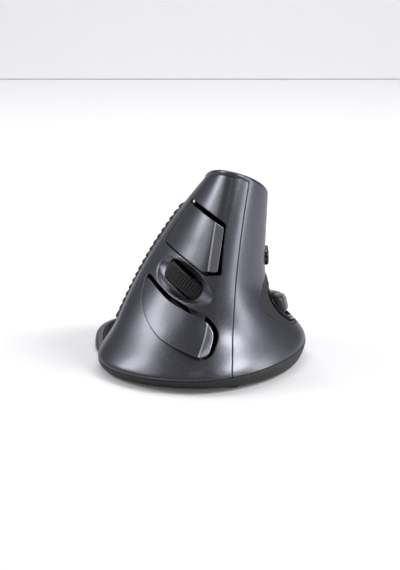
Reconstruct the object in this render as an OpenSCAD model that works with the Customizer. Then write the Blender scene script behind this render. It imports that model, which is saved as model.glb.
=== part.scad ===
// Right-handed vertical mouse: housing panels, keys, wheel, clip-on palm rest and the works inside.
// The front faces -Y, +Z is up, the thumb side is +X and the desk is the plane z = 0.

/* [Body] */
// Height of the crown above the desk (mm)
body_h = 67; // [65:0.5:69]
// Reach of the finger side at the desk
finger_reach = 34; // [33.5:0.5:36]
// Waist of the thumb side
thumb_waist = 20.7; // [20.3:0.1:21.4]
// Flange of the thumb side past the waist
thumb_flare = 15.6; // [14.8:0.1:16.2]
// Height over which that flange fades into the waist
flare_fade = 14.5; // [13.5:0.5:15.5]
// Reach of the front at the desk, without its lip
front_reach = 41; // [40.5:0.5:43]
// Lip of the skirt at the front
front_lip = 9; // [7.5:0.5:10]
// Reach of the back at the desk, with standard cells
back_reach = 44; // [43.5:0.5:46]
// Slope of the crown toward the thumb
crown_slope_x = 0.27; // [0.24:0.01:0.3]
// Slope of the crown toward the back
crown_slope_y = 0.34; // [0.3:0.02:0.38]
// Radius of the crown's rim
rim_r = 1.7; // [1.4:0.1:2.2]
// Wall of the housing panels
wall = 2; // [1.8:0.1:2.2]

/* [Panels] */
// Height of the joint between base and panels, in the middle
part_z = 4.6; // [4.4:0.1:4.9]
// Rise of that joint toward the thumb
part_slope = 0.04; // [0.03:0.005:0.05]
// Front seam between the two panels at the desk, from the middle
seam_foot = 10.4; // [9.8:0.2:11.4]
// How far the front seam leans toward the thumb at the crown
seam_lean = 6.8; // [6:0.2:7.6]
// Depth of the crown seam below the rim
cap_drop = 0.2; // [0.1:0.1:0.6]
// Length of the finger grip from front to back
grip_l = 34; // [32:0.5:35]
// Height of the finger grip
grip_h = 40.5; // [39:0.5:41.5]
// Number of ribs on the finger grip
grip_ribs = 18; // [12:1:20]
// Height of a grip rib
grip_rib_h = 0.9; // [0.6:0.1:1.2]

/* [Finger keys] */
// Length of the upper key's opening along the fingers
upper_l = 32.2; // [31:0.2:33]
// Width of the upper key's opening
upper_w = 18.8; // [18:0.2:19.2]
// Length of the lower key's opening along the fingers
lower_l = 43.6; // [42:0.2:44.4]
// Width of the lower key's opening
lower_w = 15; // [14.4:0.2:15.4]
// Plate of the finger keys
key_t = 2; // [1.8:0.1:2.2]
// Gap at the free edges of the finger keys
key_gap = 0.6; // [0.5:0.05:0.8]
// Extra gap along the upper edge of the finger keys
key_gap_top = 0.9; // [0.6:0.1:1.2]
// Lift of the upper key about its hinge (degrees)
upper_lift = 3.5; // [3:0.25:4]
// Lift of the lower key about its hinge (degrees)
lower_lift = 2.5; // [2:0.25:3]
// Slope of the key flanks (degrees)
flank_angle = 36; // [33:1:40]
// Width of the upper key's flank, from the edge of its opening
upper_flank = 2.6; // [2.2:0.1:3]
// Width of the lower key's flank, from the edge of its opening
lower_flank = 1.7; // [1.4:0.1:2.2]

/* [Wheel] */
// Wheel diameter over the tread
wheel_d = 24; // [23.4:0.2:24.4]
// Wheel width
wheel_w = 5.4; // [5:0.2:5.6]
// How far the wheel stands out of the finger face
wheel_out = 2.6; // [2.3:0.1:2.9]
// Number of tread ribs
tread_ribs = 72; // [60:2:84]
// Axle diameter
axle_d = 2.4; // [2:0.2:2.8]

/* [Thumb side] */
// Height of the forward key's front end
thumb_key_z = 20; // [19.5:0.25:20.5]
// Radius of the thumb key bars
thumb_key_r = 2.6; // [2.4:0.1:2.8]
// How far the middle of the thumb keys lies outside the body
thumb_key_out = 0.8; // [0.5:0.1:1.1]
// Fall of the thumb keys toward the back, per mm
thumb_fall = 0.19; // [0.16:0.01:0.22]
// Length of the thumb pad from front to back
pad_l = 46.5; // [45:0.5:47.5]
// Height of the thumb pad
pad_h = 18.6; // [18:0.2:19.2]
// Height of the resolution key
dpi_z = 34; // [33.5:0.25:34.5]
// How far the resolution key stands out
dpi_out = 1.4; // [1:0.1:1.8]

/* [Palm rest] */
// Height of the palm rest at its middle
palm_h = 4.4; // [4.2:0.1:5]
// Width of the palm rest's plan
palm_w = 32; // [31:0.5:32.5]
// Length of the palm rest's plan
palm_l = 57.2; // [56:0.2:57.6]
// Radius of the palm rest's dome
palm_dome_r = 125; // [115:1:140]
// Thickness of the palm pad
palm_pad_t = 1.2; // [1:0.1:1.5]
// Number of ribs on the palm pad
palm_ribs = 7; // [5:1:9]
// Width of the tongue that clips it to the base
tongue_w = 12; // [10:0.5:13]

/* [Base] */
// Thickness of the glide feet
foot_t = 0.8; // [0.6:0.1:1]
// Thickness of the base floor
floor_t = 2.4; // [2.3:0.1:2.6]
// Cell diameter
cell_d = 10.5; // [10.3:0.1:10.5]
// Cell length without its button
cell_l = 43.7; // [43.3:0.1:44]

/* [Electronics] */
// Board thickness
board_t = 1.6; // [1.4:0.1:1.6]
// Height of the main board's underside
board_z = 9.4; // [9.2:0.1:9.8]

/* [Fits] */
// Clearance around pieces that move
fit = 0.35; // [0.3:0.05:0.4]
// Joint between fixed panels
panel_gap = 0.12; // [0.08:0.02:0.16]

/* [Hidden] */
eps = 0.02;
big = 120;
seg = 12;
side_rings = 20;
side_pull = 0.55;
crown_x = 10;
crown_y = -14;
side_tuck = 3;
front_tuck = 5;
thumb_tuck = 1.8;
tuck_z = 4.6;
flare_z = 6.5;
toe_out = 2.5;
toe_z = 2.5;
toe_fade = 5.5;
lip_z = 3;
lip_fade = 9;
finger_lean = 0.42;
finger_bow = 0.127;
waist_rise = 0.04;
front_rise = 26;
front_bow = 1.25;
back_rise = 20;
back_bow = 1.6;
back_h = 55;
nose_foot = -0.5;
nose_lean = 12.5;
tail_foot = -2;
tail_lean = 14.5;
floor_z = foot_t + floor_t;
face_h = 29.88;
face_turn = 226;
face_tilt = 31;
finger_dip = 22;
wheel_p = -0.8;
wheel_q = -0.4;
wheel_r = wheel_out - wheel_d / 2;
slot_gap = 0.9;
key_reach = 8.5;
slot_r = wheel_w / 2 + slot_gap;
slot_half = 10.2;
bore_d = axle_d + 2 * fit;
carrier_t = 4;
carrier_in = [wheel_d + 1.4, wheel_w + 1.4];
carrier_bar = 1.6;
press_room = 0.7;
finger_board_r = wheel_r - carrier_t / 2 - press_room;
switch_h = 6.5;
switch_nub = 0.5;
left_switch_at = [-2.4, 13];
right_switch_at = [3, -11];
press_gap = 0.8;
bay_half = 13;
bay_mid = 3;
thumb_board_x = bay_mid + bay_half;
thumb_face_x = thumb_board_x + board_t;
tact_h = 2.6;
dpi_tact_h = 1.4;
bezel_drop = 1.3;
bezel_rim = 2.4;
forward_key = [-5.5, 4.5];
back_key = [11.5, 20.5];
bay_wall = 1.5;
contact_t = 0.4;
spring_room = 1.9;
nub_l = 0.8;
cell_play = 0.2;
standard_cell_l = 43.7;
bay_growth = cell_l - standard_cell_l;
bay_y0 = -15.6;
bay_y1 = bay_y0 + cell_l + nub_l + spring_room + 2 * (contact_t + bay_wall) + cell_play;
bay_roof = floor_z + cell_d + 0.4;
cell_x = cell_d / 2 + 0.25;
door_x = cell_d + 0.6;
door_y0 = bay_y0 + 2.2;
door_y1 = bay_y1 - 2.2;
board_back = bay_y0 - 2.4;
sensor_y = board_back - 9;
sensor_hole_r = 3.6;
receiver_x = 13.9 - finger_reach;
receiver_y = -5.2;
receiver_w = 14;
receiver_l = 19;
receiver_h = 6;
power_x = 22;
power_y = 6;
power_run = 1.5;
tongue_dir = 135;
tongue_at = [-7 - finger_reach / 2, 26 + bay_growth];
tongue_in = 7;
tongue_t = 0.8;
palm_mid = [-7 - finger_reach / 2, 22 + bay_growth];
palm_gap = 0.5;
pad_reach = 20;
pad_inset = 3;
pad_rib_w = 0.9;
pad_rib_step = 5.6;
foot_r = 3;

upper_mid = [-5.4, 13.8];
lower_mid = [4.8, -11.7];
pad_mid = [3.75, 19.7];
grip_mid = [13, 32.25];
palm_middle = [-4 - finger_reach / 2, 20.6 + bay_growth];
dpi_y = 5;
upper_outline = placed(
    [[-1, -1], [0.795, -0.85], [1, -0.52], [0.41, 1], [-1, 0.86]], upper_mid, [upper_l, upper_w]
);
lower_outline = loop_curve(placed([
    [-1, 0.59], [-0.59, 0.63], [-0.17, 0.63], [0.24, 0.81], [0.51, 1], [0.71, 0.84], [0.88, 0.33],
    [1, -0.23], [0.9, -0.61], [0.33, -1], [-0.15, -0.93], [-0.54, -0.63], [-0.83, -0.15]
], lower_mid, [lower_l, lower_w]), 5);
lower_front = placed([[0.71, 0.84], [1, -0.23]], lower_mid, [lower_l, lower_w]);
thumb_pad_outline = loop_curve(placed([
    [-1, 0.03], [-0.91, 0.5], [-0.55, 0.85], [0.05, 1], [0.66, 0.85], [1, 0.3], [1, -0.5], [0.61, -1],
    [-0.08, -0.91], [-0.72, -0.59]
], pad_mid, [pad_l, pad_h]), 5);
grip_outline = loop_curve(placed([
    [-1, -0.97], [-0.68, -0.56], [-0.5, -0.06], [-0.41, 0.48], [-0.39, 0.9], [0.06, 1], [0.56, 0.53],
    [0.91, -0.06], [1, -0.8], [0.53, -0.99], [-0.29, -1]
], grip_mid, [grip_l, grip_h]), 4);
palm_outline = loop_curve(placed([
    [-0.625, -1], [-0.91, -0.72], [-1, -0.3], [-0.95, 0.08], [-0.725, 0.415], [-0.3, 0.73], [0.375, 1],
    [1, 0.97], [0.81, 0.54], [0.06, -0.16]
], palm_middle, [palm_w, palm_l]), 6);
upper_hinge = [upper_outline[0].x + 0.3, 0, -3.8];
lower_hinge = [lower_outline[0].x + 0.4, 0, -3.9];
frame_feet = [[21.2, -12.5], [14 - finger_reach, 13.5]];
board_posts_at = [
    [-15, board_back - 2.6], [14.6, board_back - 2.6], [-10, board_back - 16], [12, board_back - 16]
];
board_screws_at = [board_posts_at[0], board_posts_at[3]];

// Curves

function placed(shape, at, size) = [for (p = shape) at + [p.x * size.x / 2, p.y * size.y / 2]];
function unit(v) = v / norm(v);
function ramp(a) = max(0, min(1, a));
function bell(z, centre, width) = exp(-pow((z - centre) / width, 2));
function bezier(p, t) =
    pow(1 - t, 3) * p[0] + 3 * pow(1 - t, 2) * t * p[1] + 3 * (1 - t) * t * t * p[2] + pow(t, 3) * p[3];
function spline_at(a, b, c, d, t) =
    (2 * b + (c - a) * t + (2 * a - 5 * b + 4 * c - d) * t * t + (3 * b - a - 3 * c + d) * t * t * t) / 2;
function loop_curve(pts, n) = let (k = len(pts)) [
    for (i = [0:k - 1]) for (j = [0:n - 1])
        spline_at(pts[(i + k - 1) % k], pts[i], pts[(i + 1) % k], pts[(i + 2) % k], j / n)
];

// Body surface: four reaches change with height, and every section is four curves between them

function tuck(z, depth) = depth * pow(ramp((tuck_z - z) / (tuck_z - foot_t)), 2);
function finger_x(z) =
    tuck(z, side_tuck) - finger_reach + finger_lean * z + finger_bow * z * z / body_h
    - toe_out * bell(z, toe_z, toe_fade);
function thumb_x(z) =
    thumb_waist + waist_rise * z + thumb_flare * (z > flare_z ? bell(z, flare_z, flare_fade) : 1)
    - thumb_tuck * pow(ramp((flare_z - z) / (flare_z - foot_t)), 1.6);
function front_y(z) =
    tuck(z, front_tuck) - front_reach + front_rise * pow(z / body_h, front_bow)
    - front_lip * bell(z, lip_z, lip_fade);
function back_y(z) = back_reach + bay_growth - back_rise * pow(z / back_h, back_bow) - tuck(z, side_tuck);
function nose_x(z) = nose_foot + nose_lean * z / body_h;
function tail_x(z) = tail_foot + tail_lean * z / body_h;
function finger_y(z) = 8 - 24 * pow(1 - ramp(z / 40), 1.3);
function thumb_y(z) = z / 15;
function nose_w(z) = 6 + 13 * pow(1 - ramp(z / 30), 1.5);
function tail_w(z) = 6.5 + 12.5 * (1 - ramp(z / 50));
function quarters(z, inset) = let (
    n = [nose_x(z), front_y(z) + inset],
    r = [thumb_x(z) - inset, thumb_y(z)],
    b = [tail_x(z), back_y(z) - inset],
    l = [finger_x(z) + inset, finger_y(z)],
    nw = [nose_w(z), 0],
    bw = [tail_w(z), 0]
) [
    [n, n + nw, r - [0, side_pull * (r.y - n.y)], r],
    [r, r + [0, side_pull * (b.y - r.y)], b + bw, b],
    [b, b - bw, l + [0, side_pull * (b.y - l.y)], l],
    [l, l - [0, side_pull * (l.y - n.y)], n - nw, n]
];
function section(z, inset) = [for (q = quarters(z, inset)) for (i = [0:seg - 1]) bezier(q, i / seg)];
function crown_z(p) = body_h - crown_slope_x * (p.x - crown_x) - crown_slope_y * (p.y - crown_y);
function level(v) = foot_t + v * (body_h - rim_r - foot_t);
function raised(p, v, inset) = [p.x, p.y, foot_t + v * (crown_z(p) - inset - rim_r - foot_t)];
function side_ring(v, inset) = [for (p = section(level(v), inset)) raised(p, v, inset)];
function rim_ring(a, inset) = [
    for (p = section(level(1), inset + rim_r * (1 - cos(a))))
        [p.x, p.y, crown_z(p) - inset - rim_r * (1 - sin(a))]
];
function side_point(v, quarter, t, inset) =
    raised(bezier(quarters(level(v), inset)[quarter], t), v, inset);
function side_at(uv) = let (q = min(3, floor(uv[1]))) side_point(uv[0], q, uv[1] - q, 0);
function find_uv(flat, target, uv, tries) = tries == 0 ? uv : let (
    e = 0.001,
    here = flat(uv),
    du = (flat(uv + [e, 0]) - here) / e,
    dt = (flat(uv + [0, e]) - here) / e,
    off = target - here,
    det = du.x * dt.y - du.y * dt.x
) find_uv(flat, target, uv + [off.x * dt.y - off.y * dt.x, du.x * off.y - du.y * off.x] / det, tries - 1);
function average(pts) = [for (p = pts) 1] * pts / len(pts);

face_point = side_point(face_h / body_h, 3, 0.607, 0);
face_n = [cos(face_tilt) * cos(face_turn), cos(face_tilt) * sin(face_turn), sin(face_tilt)];
face_e = [-sin(face_turn), cos(face_turn), 0];
face_u = cross(face_n, face_e);
face_f = cos(finger_dip) * face_e - sin(finger_dip) * face_u;
face_g = cross(face_n, face_f);
on_face_flat = function (uv) let (w = side_at(uv) - face_point) [w * face_f, w * face_g];
from_thumb_flat = function (uv) let (w = side_at(uv)) [w.y, w.z];
function face_r(pq) = (side_at(find_uv(on_face_flat, pq, [0.4, 3.7], 6)) - face_point) * face_n;
function thumb_point(y, z) = side_at(find_uv(from_thumb_flat, [y, z], [z / body_h, 1 + y / 60], 6));
function key_line(y) = thumb_key_z - thumb_fall * (y - forward_key[0]);
function from_face(p) = face_point + p[0] * face_f + p[1] * face_g + p[2] * face_n;

module body(inset) {
    rings = concat(
        [for (i = [0:side_rings]) side_ring(pow(i / side_rings, 1.4), inset)],
        [for (a = [18:18:90]) rim_ring(a, inset)]
    );
    k = 4 * seg;
    n = len(rings);
    top = average(rings[n - 1]);
    points = concat([for (r = rings) for (p = r) p], [top]);
    sides = [
        for (i = [0:n - 2]) for (j = [0:k - 1]) let (a = i * k + j, b = i * k + (j + 1) % k)
            each [[a, a + k, b + k], [a, b + k, b]]
    ];
    floor_face = [for (j = [0:k - 1]) j];
    crown_faces = [for (j = [0:k - 1]) [n * k, (n - 1) * k + (j + 1) % k, (n - 1) * k + j]];
    polyhedron(points, concat(sides, [floor_face], crown_faces));
}

module layer(outside, inside) {
    difference() {
        body(outside);
        body(inside);
    }
}

module on_face() {
    translate(face_point) rotate([0, 90 - face_tilt, face_turn]) rotate(90 - finger_dip) children();
}

module tool(outline_r0, outline_r1) {
    on_face() translate([0, 0, outline_r0]) linear_extrude(outline_r1 - outline_r0) children();
}

module from_side(x0, x1) {
    translate([x0, 0, 0]) rotate([90, 0, 90]) linear_extrude(x1 - x0) children();
}

module round_corners(r) {
    offset(r) offset(delta = -r) children();
}

module stadium(length, r) {
    hull() {
        translate([-length / 2, 0]) circle(r, $fn = 24);
        translate([length / 2, 0]) circle(r, $fn = 24);
    }
}

module rod(a, b, r) {
    hull() {
        translate(a) sphere(r, $fn = 6);
        translate(b) sphere(r, $fn = 6);
    }
}

module stringer(v, quarter, t0, t1, inset, r) {
    steps = 8;
    for (i = [0:steps - 1])
        rod(
            side_point(v, quarter, t0 + (t1 - t0) * i / steps, inset),
            side_point(v, quarter, t0 + (t1 - t0) * (i + 1) / steps, inset),
            r
        );
}

// Cuts between panels

module below_joint(shift) {
    rotate([0, -atan(part_slope), 0])
        translate([-big, -big, part_z + shift - 2 * big]) cube([2 * big, 2 * big, 2 * big]);
}

module above_crown_seam(shift) {
    lift = body_h + crown_slope_x * crown_x + crown_slope_y * crown_y - rim_r - cap_drop + shift;
    multmatrix([[1, 0, 0, 0], [0, 1, 0, 0], [-crown_slope_x, -crown_slope_y, 1, lift]])
        translate([-big, -big, 0]) cube([2 * big, 2 * big, big]);
}

module thumb_half(shift) {
    steps = 8;
    top = 1.25 * body_h;
    edge = [
        for (i = [0:steps]) let (z = top * i / steps) [seam_foot + shift + seam_lean * pow(z / body_h, 2), z]
    ];
    rotate([90, 0, 0]) translate([0, 0, -big])
        linear_extrude(2 * big) polygon(concat(edge, [[big, top], [big, 0]]));
}

module thumb_region(shift) {
    thumb_half(shift);
    above_crown_seam(shift);
}

// Outlines on the finger face and on the sides

module upper_opening() {
    round_corners(1.2) polygon(upper_outline);
}

module lower_opening() {
    polygon(lower_outline);
}

module key_outline(front_edge) {
    slide = front_edge / abs(front_edge.y);
    intersection() {
        offset(delta = -key_gap) children();
        translate(key_gap_top * slide) offset(delta = -key_gap) children();
    }
}

module wheel_slot(grow) {
    translate([wheel_p, wheel_q]) stadium(2 * (slot_half - slot_r), slot_r + grow);
}

module key_bar(y0, y1, drop, r) {
    hull() {
        translate([y0, key_line(y0) - drop]) circle(r, $fn = 24);
        translate([y1, key_line(y1) - drop]) circle(r, $fn = 24);
    }
}

module thumb_key_slot(ends, grow) {
    key_bar(ends[0], ends[1], 0, thumb_key_r + grow);
}

module bezel_outline(grow) {
    key_bar(forward_key[0], back_key[1], bezel_drop, thumb_key_r + bezel_rim + grow);
}

module dpi_outline(grow) {
    translate([dpi_y, dpi_z]) offset(grow) rotate(8) stadium(4.6, 2.6);
}

// Housing

module base_plate() {
    color("#1f1f22") difference() {
        union() {
            difference() {
                union() {
                    intersection() {
                        body(0);
                        below_joint(0);
                    }
                    intersection() {
                        body(wall + fit);
                        translate([-big, -big, 0]) cube([2 * big, 2 * big, floor_z]);
                    }
                }
                intersection() {
                    body(wall);
                    translate([-big, -big, floor_z]) cube(2 * big);
                }
            }
            intersection() {
                body(wall + fit);
                union() {
                    battery_bay();
                    receiver_pocket();
                }
            }
            board_posts();
        }
        battery_opening();
        receiver_opening();
        translate([0, sensor_y, 0]) linear_extrude(floor_z + eps) stadium(3, sensor_hole_r);
        translate([power_x, power_y, 0]) linear_extrude(floor_z + eps)
            square([4 + 2 * fit, 5 + 2 * (power_run + fit)], center = true);
        tongue_slot();
        frame_screw_holes();
    }
}

module battery_bay() {
    translate([bay_mid - bay_half, bay_y0, floor_z - eps])
        cube([2 * bay_half, bay_y1 - bay_y0, bay_roof + bay_wall - floor_z]);
}

module battery_opening() {
    translate([bay_mid - bay_half + bay_wall, bay_y0 + bay_wall, floor_z])
        cube([2 * (bay_half - bay_wall), bay_y1 - bay_y0 - 2 * bay_wall, bay_roof - floor_z]);
    translate([bay_mid - door_x - fit, door_y0 - fit, 0])
        cube([2 * (door_x + fit), door_y1 - door_y0 + 2 * fit, floor_z + eps]);
}

module receiver_pocket() {
    translate([receiver_x, receiver_y, floor_z - eps]) linear_extrude(receiver_h + 1.6 - floor_t)
        square([receiver_w + 2 * fit + 2.4, receiver_l + 2 * fit + 2.4], center = true);
}

module receiver_opening() {
    translate([receiver_x, receiver_y, 0]) linear_extrude(foot_t + 0.4 + receiver_h)
        square([receiver_w + 2 * fit, receiver_l + 2 * fit], center = true);
}

module board_posts() {
    for (p = board_posts_at) {
        hull() {
            translate([p.x, p.y, floor_z - eps]) cylinder(board_z - floor_z + eps, r = 1.8, $fn = 16);
            translate([p.x, p.y, floor_z - eps]) cylinder(1, r = 2.8, $fn = 16);
        }
        hull() {
            translate([p.x - 0.5, p.y - 4, floor_z - eps]) cube([1, 8, 0.5]);
            translate([p.x - 0.5, p.y - 1, floor_z + 3]) cube([1, 2, 0.5]);
        }
    }
}

module tongue_slot() {
    translate([tongue_at.x, tongue_at.y, 0]) rotate(tongue_dir)
        translate([-tongue_in - fit, -tongue_w / 2 - fit, 0])
            cube([big, tongue_w + 2 * fit, foot_t + tongue_t + 2 * fit]);
}

module frame_screw_holes() {
    for (p = frame_feet) translate([p.x, p.y, 0]) {
        cylinder(foot_t + 1.3, r = 2.6, $fn = 24);
        cylinder(floor_z + eps, r = 1.3, $fn = 24);
    }
}

module finger_shell() {
    color("#5d5c64") difference() {
        union() {
            difference() {
                layer(0, wall);
                below_joint(panel_gap);
                thumb_region(-panel_gap);
            }
            intersection() {
                body(0);
                tool(-3.4, 8) wheel_slot(1.3);
            }
            stringer(0.17, 2, 0.5, 0.9, wall + 0.3, 0.6);
        }
        tool(-10, 10) upper_opening();
        tool(-14, 8) lower_opening();
        tool(-14, 8) wheel_slot(0);
        wheel_dish();
        at_wheel() cylinder(wheel_w + 1, r = wheel_d / 2 + 0.6, center = true, $fn = 64);
        from_side(-big, -2) offset(panel_gap) polygon(grip_outline);
    }
}

module wheel_dish() {
    dish = [slot_half + 2.8, slot_r + 1.7, 2.1];
    on_face() translate([wheel_p + 0.4, wheel_q - 0.55, 0.5]) scale(dish) sphere(1, $fn = 36);
}

module thumb_shell() {
    color("#5d5c64") difference() {
        union() {
            intersection() {
                layer(0, wall);
                thumb_region(0);
            }
            stringer(0.13, 0, 0.55, 0.95, wall + 0.3, 0.6);
        }
        below_joint(panel_gap);
        from_side(2, big) offset(panel_gap) polygon(thumb_pad_outline);
        from_side(2, big) bezel_outline(panel_gap);
        from_side(2, big) dpi_outline(fit);
    }
}

module finger_grip() {
    z0 = grip_mid.y - grip_h / 2 + 2.2;
    z1 = grip_mid.y + grip_h / 2 - 2;
    color("#1a1a1b") {
        intersection() {
            layer(0, wall);
            from_side(-big, -2) polygon(grip_outline);
        }
        intersection() {
            layer(-grip_rib_h, wall / 2);
            from_side(-big, -2) for (i = [0:grip_ribs - 1]) let (z = z0 + (z1 - z0) * i / (grip_ribs - 1))
                intersection() {
                    offset(-0.6) polygon(grip_outline);
                    hull() {
                        translate([grip_mid.x - grip_l, z]) circle(0.6, $fn = 8);
                        translate([grip_mid.x + grip_l, z]) circle(0.6, $fn = 8);
                    }
                }
        }
    }
}

// Finger keys

module lifted(hinge, lift) {
    on_face() translate(hinge) rotate([0, -lift, 0]) translate(-hinge)
        rotate(finger_dip - 90) off_face() children();
}

module off_face() {
    rotate([0, face_tilt - 90, 0]) rotate([0, 0, -face_turn]) translate(-face_point) children();
}

module flank(edge, width, hinge, lift) {
    out = unit([edge[0].y - edge[1].y, edge[1].x - edge[0].x]);
    crest = [for (p = edge) let (c = p - width * out) [c.x, c.y, face_r(c) + (c.x - hinge.x) * sin(lift)]];
    along = unit(crest[1] - crest[0]);
    fall = cos(flank_angle) * [out.x, out.y, 0] - sin(flank_angle) * [0, 0, 1];
    above = cross(along, fall);
    at = crest[0];
    on_face() multmatrix([for (i = [0:2]) [along[i], fall[i], above[i], at[i]]])
        translate([-30, 0, 0]) cube([60, 30, 12]);
}

module key_plate(hinge, lift, edge, width) {
    difference() {
        intersection() {
            tool(-key_reach, key_reach) key_outline(edge[1] - edge[0]) children();
            lifted(hinge, lift) layer(0, key_t);
        }
        flank(edge, width, hinge, lift);
    }
}

module left_button() {
    edge = [upper_outline[3], upper_outline[2]];
    color("#66656d") {
        key_plate(upper_hinge, upper_lift, edge, upper_flank) upper_opening();
        intersection() {
            tool(-key_reach, key_reach) offset(-1) key_outline(edge[1] - edge[0]) upper_opening();
            lifted(upper_hinge, upper_lift) {
                stringer(0.6, 3, 0.36, 0.76, key_t, 0.8);
                stringer(0.72, 3, 0.36, 0.76, key_t, 0.8);
            }
        }
        key_plunger(left_switch_at, upper_hinge, upper_lift);
    }
}

module right_button() {
    edge = lower_front;
    color("#66656d") {
        key_plate(lower_hinge, lower_lift, edge, lower_flank) lower_opening();
        intersection() {
            tool(-key_reach, key_reach) offset(-1) key_outline(edge[1] - edge[0]) lower_opening();
            lifted(lower_hinge, lower_lift) {
                stringer(0.22, 3, 0.56, 0.9, key_t, 0.8);
                stringer(0.3, 3, 0.42, 0.84, key_t, 0.8);
            }
        }
        key_plunger(right_switch_at, lower_hinge, lower_lift);
    }
}

module key_plunger(at, hinge, lift) {
    tip = finger_board_r + switch_h + switch_nub + press_gap;
    intersection() {
        on_face() translate([at.x + 1.5, at.y, tip]) cylinder(16, r = 1.4, $fn = 16);
        lifted(hinge, lift) body(key_t / 2);
    }
}

// Wheel

module at_wheel() {
    on_face() translate([wheel_p, wheel_q, wheel_r]) rotate([90, 0, 0]) children();
}

module tread(r, depth) {
    polygon([
        for (i = [0:4 * tread_ribs - 1])
            let (a = 90 * i / tread_ribs, s = r - (i % 4 < 2 ? 0 : depth)) s * [cos(a), sin(a)]
    ]);
}

module wheel_tyre() {
    shoulder = 0.9;
    r = wheel_d / 2;
    color("#161617") at_wheel() difference() {
        union() {
            translate([0, 0, -wheel_w / 2 + shoulder]) linear_extrude(wheel_w - 2 * shoulder) tread(r, 0.5);
            translate([0, 0, -wheel_w / 2]) cylinder(wheel_w, r = r - 0.7, $fn = 96);
        }
        cylinder(2 * wheel_w, r = r - 2.6, center = true, $fn = 96);
    }
}

module wheel_hub() {
    r = wheel_d / 2 - 2.6;
    color("#2b2b2e") at_wheel() difference() {
        union() {
            difference() {
                cylinder(wheel_w - 0.8, r = r, center = true, $fn = 96);
                cylinder(wheel_w, r = r - 1.4, center = true, $fn = 96);
            }
            cylinder(wheel_w - 0.4, r = axle_d / 2 + 1.5, center = true, $fn = 48);
            for (a = [0:60:300]) rotate(a) translate([axle_d / 2 + 0.6, -0.7, -1.2])
                cube([r - axle_d / 2 - 1.4, 1.4, 2.4]);
        }
        cylinder(2 * wheel_w, r = axle_d / 2, center = true, $fn = 48);
    }
}

module wheel_axle() {
    color("#8f8f94") at_wheel() cylinder(wheel_w + 9, r = axle_d / 2, center = true, $fn = 48);
}

module wheel_carrier() {
    outer = carrier_in + 2 * [carrier_bar, carrier_bar];
    arm_l = 5;
    color("#2b2b2e") on_face() translate([wheel_p, wheel_q, wheel_r]) difference() {
        union() {
            translate([0, 0, -carrier_t / 2]) linear_extrude(carrier_t) difference() {
                square(outer, center = true);
                square(carrier_in, center = true);
                translate([arm_l, -20]) square([40, 40]);
            }
            translate([-10, -outer.y / 2 - 3, 0.8]) cube([4, 3.4, carrier_t / 2 - 0.8]);
        }
        rotate([90, 0, 0]) cylinder(40, r = bore_d / 2, center = true, $fn = 48);
    }
}

module wheel_encoder() {
    y0 = carrier_in.y / 2 + carrier_bar;
    color("#3a3a40") on_face() translate([wheel_p, wheel_q + y0, wheel_r]) difference() {
        translate([-3.6, 0, -1.9]) cube([7.2, 3.6, 5.4]);
        rotate([90, 0, 0]) cylinder(6, r = bore_d / 2, center = true, $fn = 48);
    }
}

module wheel_switch() {
    reach = carrier_in.y / 2 + carrier_bar + 1.6;
    top = wheel_r + 0.8 - press_gap;
    color("#26262a") on_face() translate([wheel_p - 8, wheel_q - reach, finger_board_r]) {
        translate([-1.8, -1.4, 0]) cube([3.6, 2.8, top - finger_board_r - 0.5]);
        cylinder(top - finger_board_r, r = 0.9, $fn = 24);
    }
}

// Thumb side

module thumb_pad() {
    bars = 10;
    pitch = 2;
    color("#2e2e31") difference() {
        union() {
            intersection() {
                layer(0, wall);
                from_side(2, big) polygon(thumb_pad_outline);
            }
            intersection() {
                layer(-0.4, wall / 2);
                from_side(2, big) for (i = [0:bars - 1]) hull() {
                    translate([pad_mid.x - pad_l / 2 + 4 + pitch * i, pad_mid.y + 2.6]) circle(0.4, $fn = 8);
                    translate([pad_mid.x - pad_l / 2 + 6 + pitch * i, pad_mid.y + 6]) circle(0.4, $fn = 8);
                }
            }
        }
        from_side(2, big) bezel_outline(panel_gap);
    }
}

module thumb_bezel() {
    color("#0c0c0d") difference() {
        union() {
            intersection() {
                layer(-0.7, wall);
                from_side(2, big) bezel_outline(0);
            }
            intersection() {
                body(wall / 2);
                for (y = concat(forward_key, back_key))
                    bezel_peg(y, key_line(y) - thumb_key_r - fit - (bezel_drop + bezel_rim) / 2);
            }
        }
        from_side(2, big) thumb_key_slot(forward_key, fit);
        from_side(2, big) thumb_key_slot(back_key, fit);
    }
}

module bezel_peg(y, z) {
    x = thumb_point(y, z).x - wall;
    hull() {
        translate([x - 3, y, z]) rotate([0, 90, 0]) cylinder(0.5, r = 0.5, $fn = 8);
        translate([x, y, z]) rotate([0, 90, 0]) cylinder(1, r = 0.8, $fn = 8);
    }
}

module thumb_key(ends) {
    tip = thumb_face_x + tact_h + switch_nub + press_gap;
    at = [for (y = ends) thumb_point(y, key_line(y)) + [thumb_key_out, 0, 0]];
    middle = (at[0] + at[1]) / 2;
    color("#3c3c41") {
        hull() for (p = at) translate(p) sphere(thumb_key_r, $fn = 24);
        translate([tip, middle.y - 2, middle.z - 1.5]) cube([min(at[0].x, at[1].x) - tip, 4, 3]);
    }
}

module forward_button() {
    thumb_key(forward_key);
}

module back_button() {
    thumb_key(back_key);
}

module dpi_button() {
    face = thumb_point(dpi_y, dpi_z).x + dpi_out;
    tip = thumb_face_x + dpi_tact_h + switch_nub + press_gap;
    stem = 3;
    color("#0c0c0d") {
        from_side(tip, face) dpi_outline(0);
        translate([tip, dpi_y - stem / 2, dpi_z - stem / 2]) cube([face - tip, stem, stem]);
    }
}

// Palm rest

module palm_plan() {
    difference() {
        polygon(palm_outline);
        offset(palm_gap) for (z = [2.2, 3.2, flare_z - 2]) polygon(section(z, 0));
    }
}

module palm_dome(shift) {
    translate([palm_mid.x, palm_mid.y, palm_h + shift - palm_dome_r]) sphere(palm_dome_r, $fn = 120);
}

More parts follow.
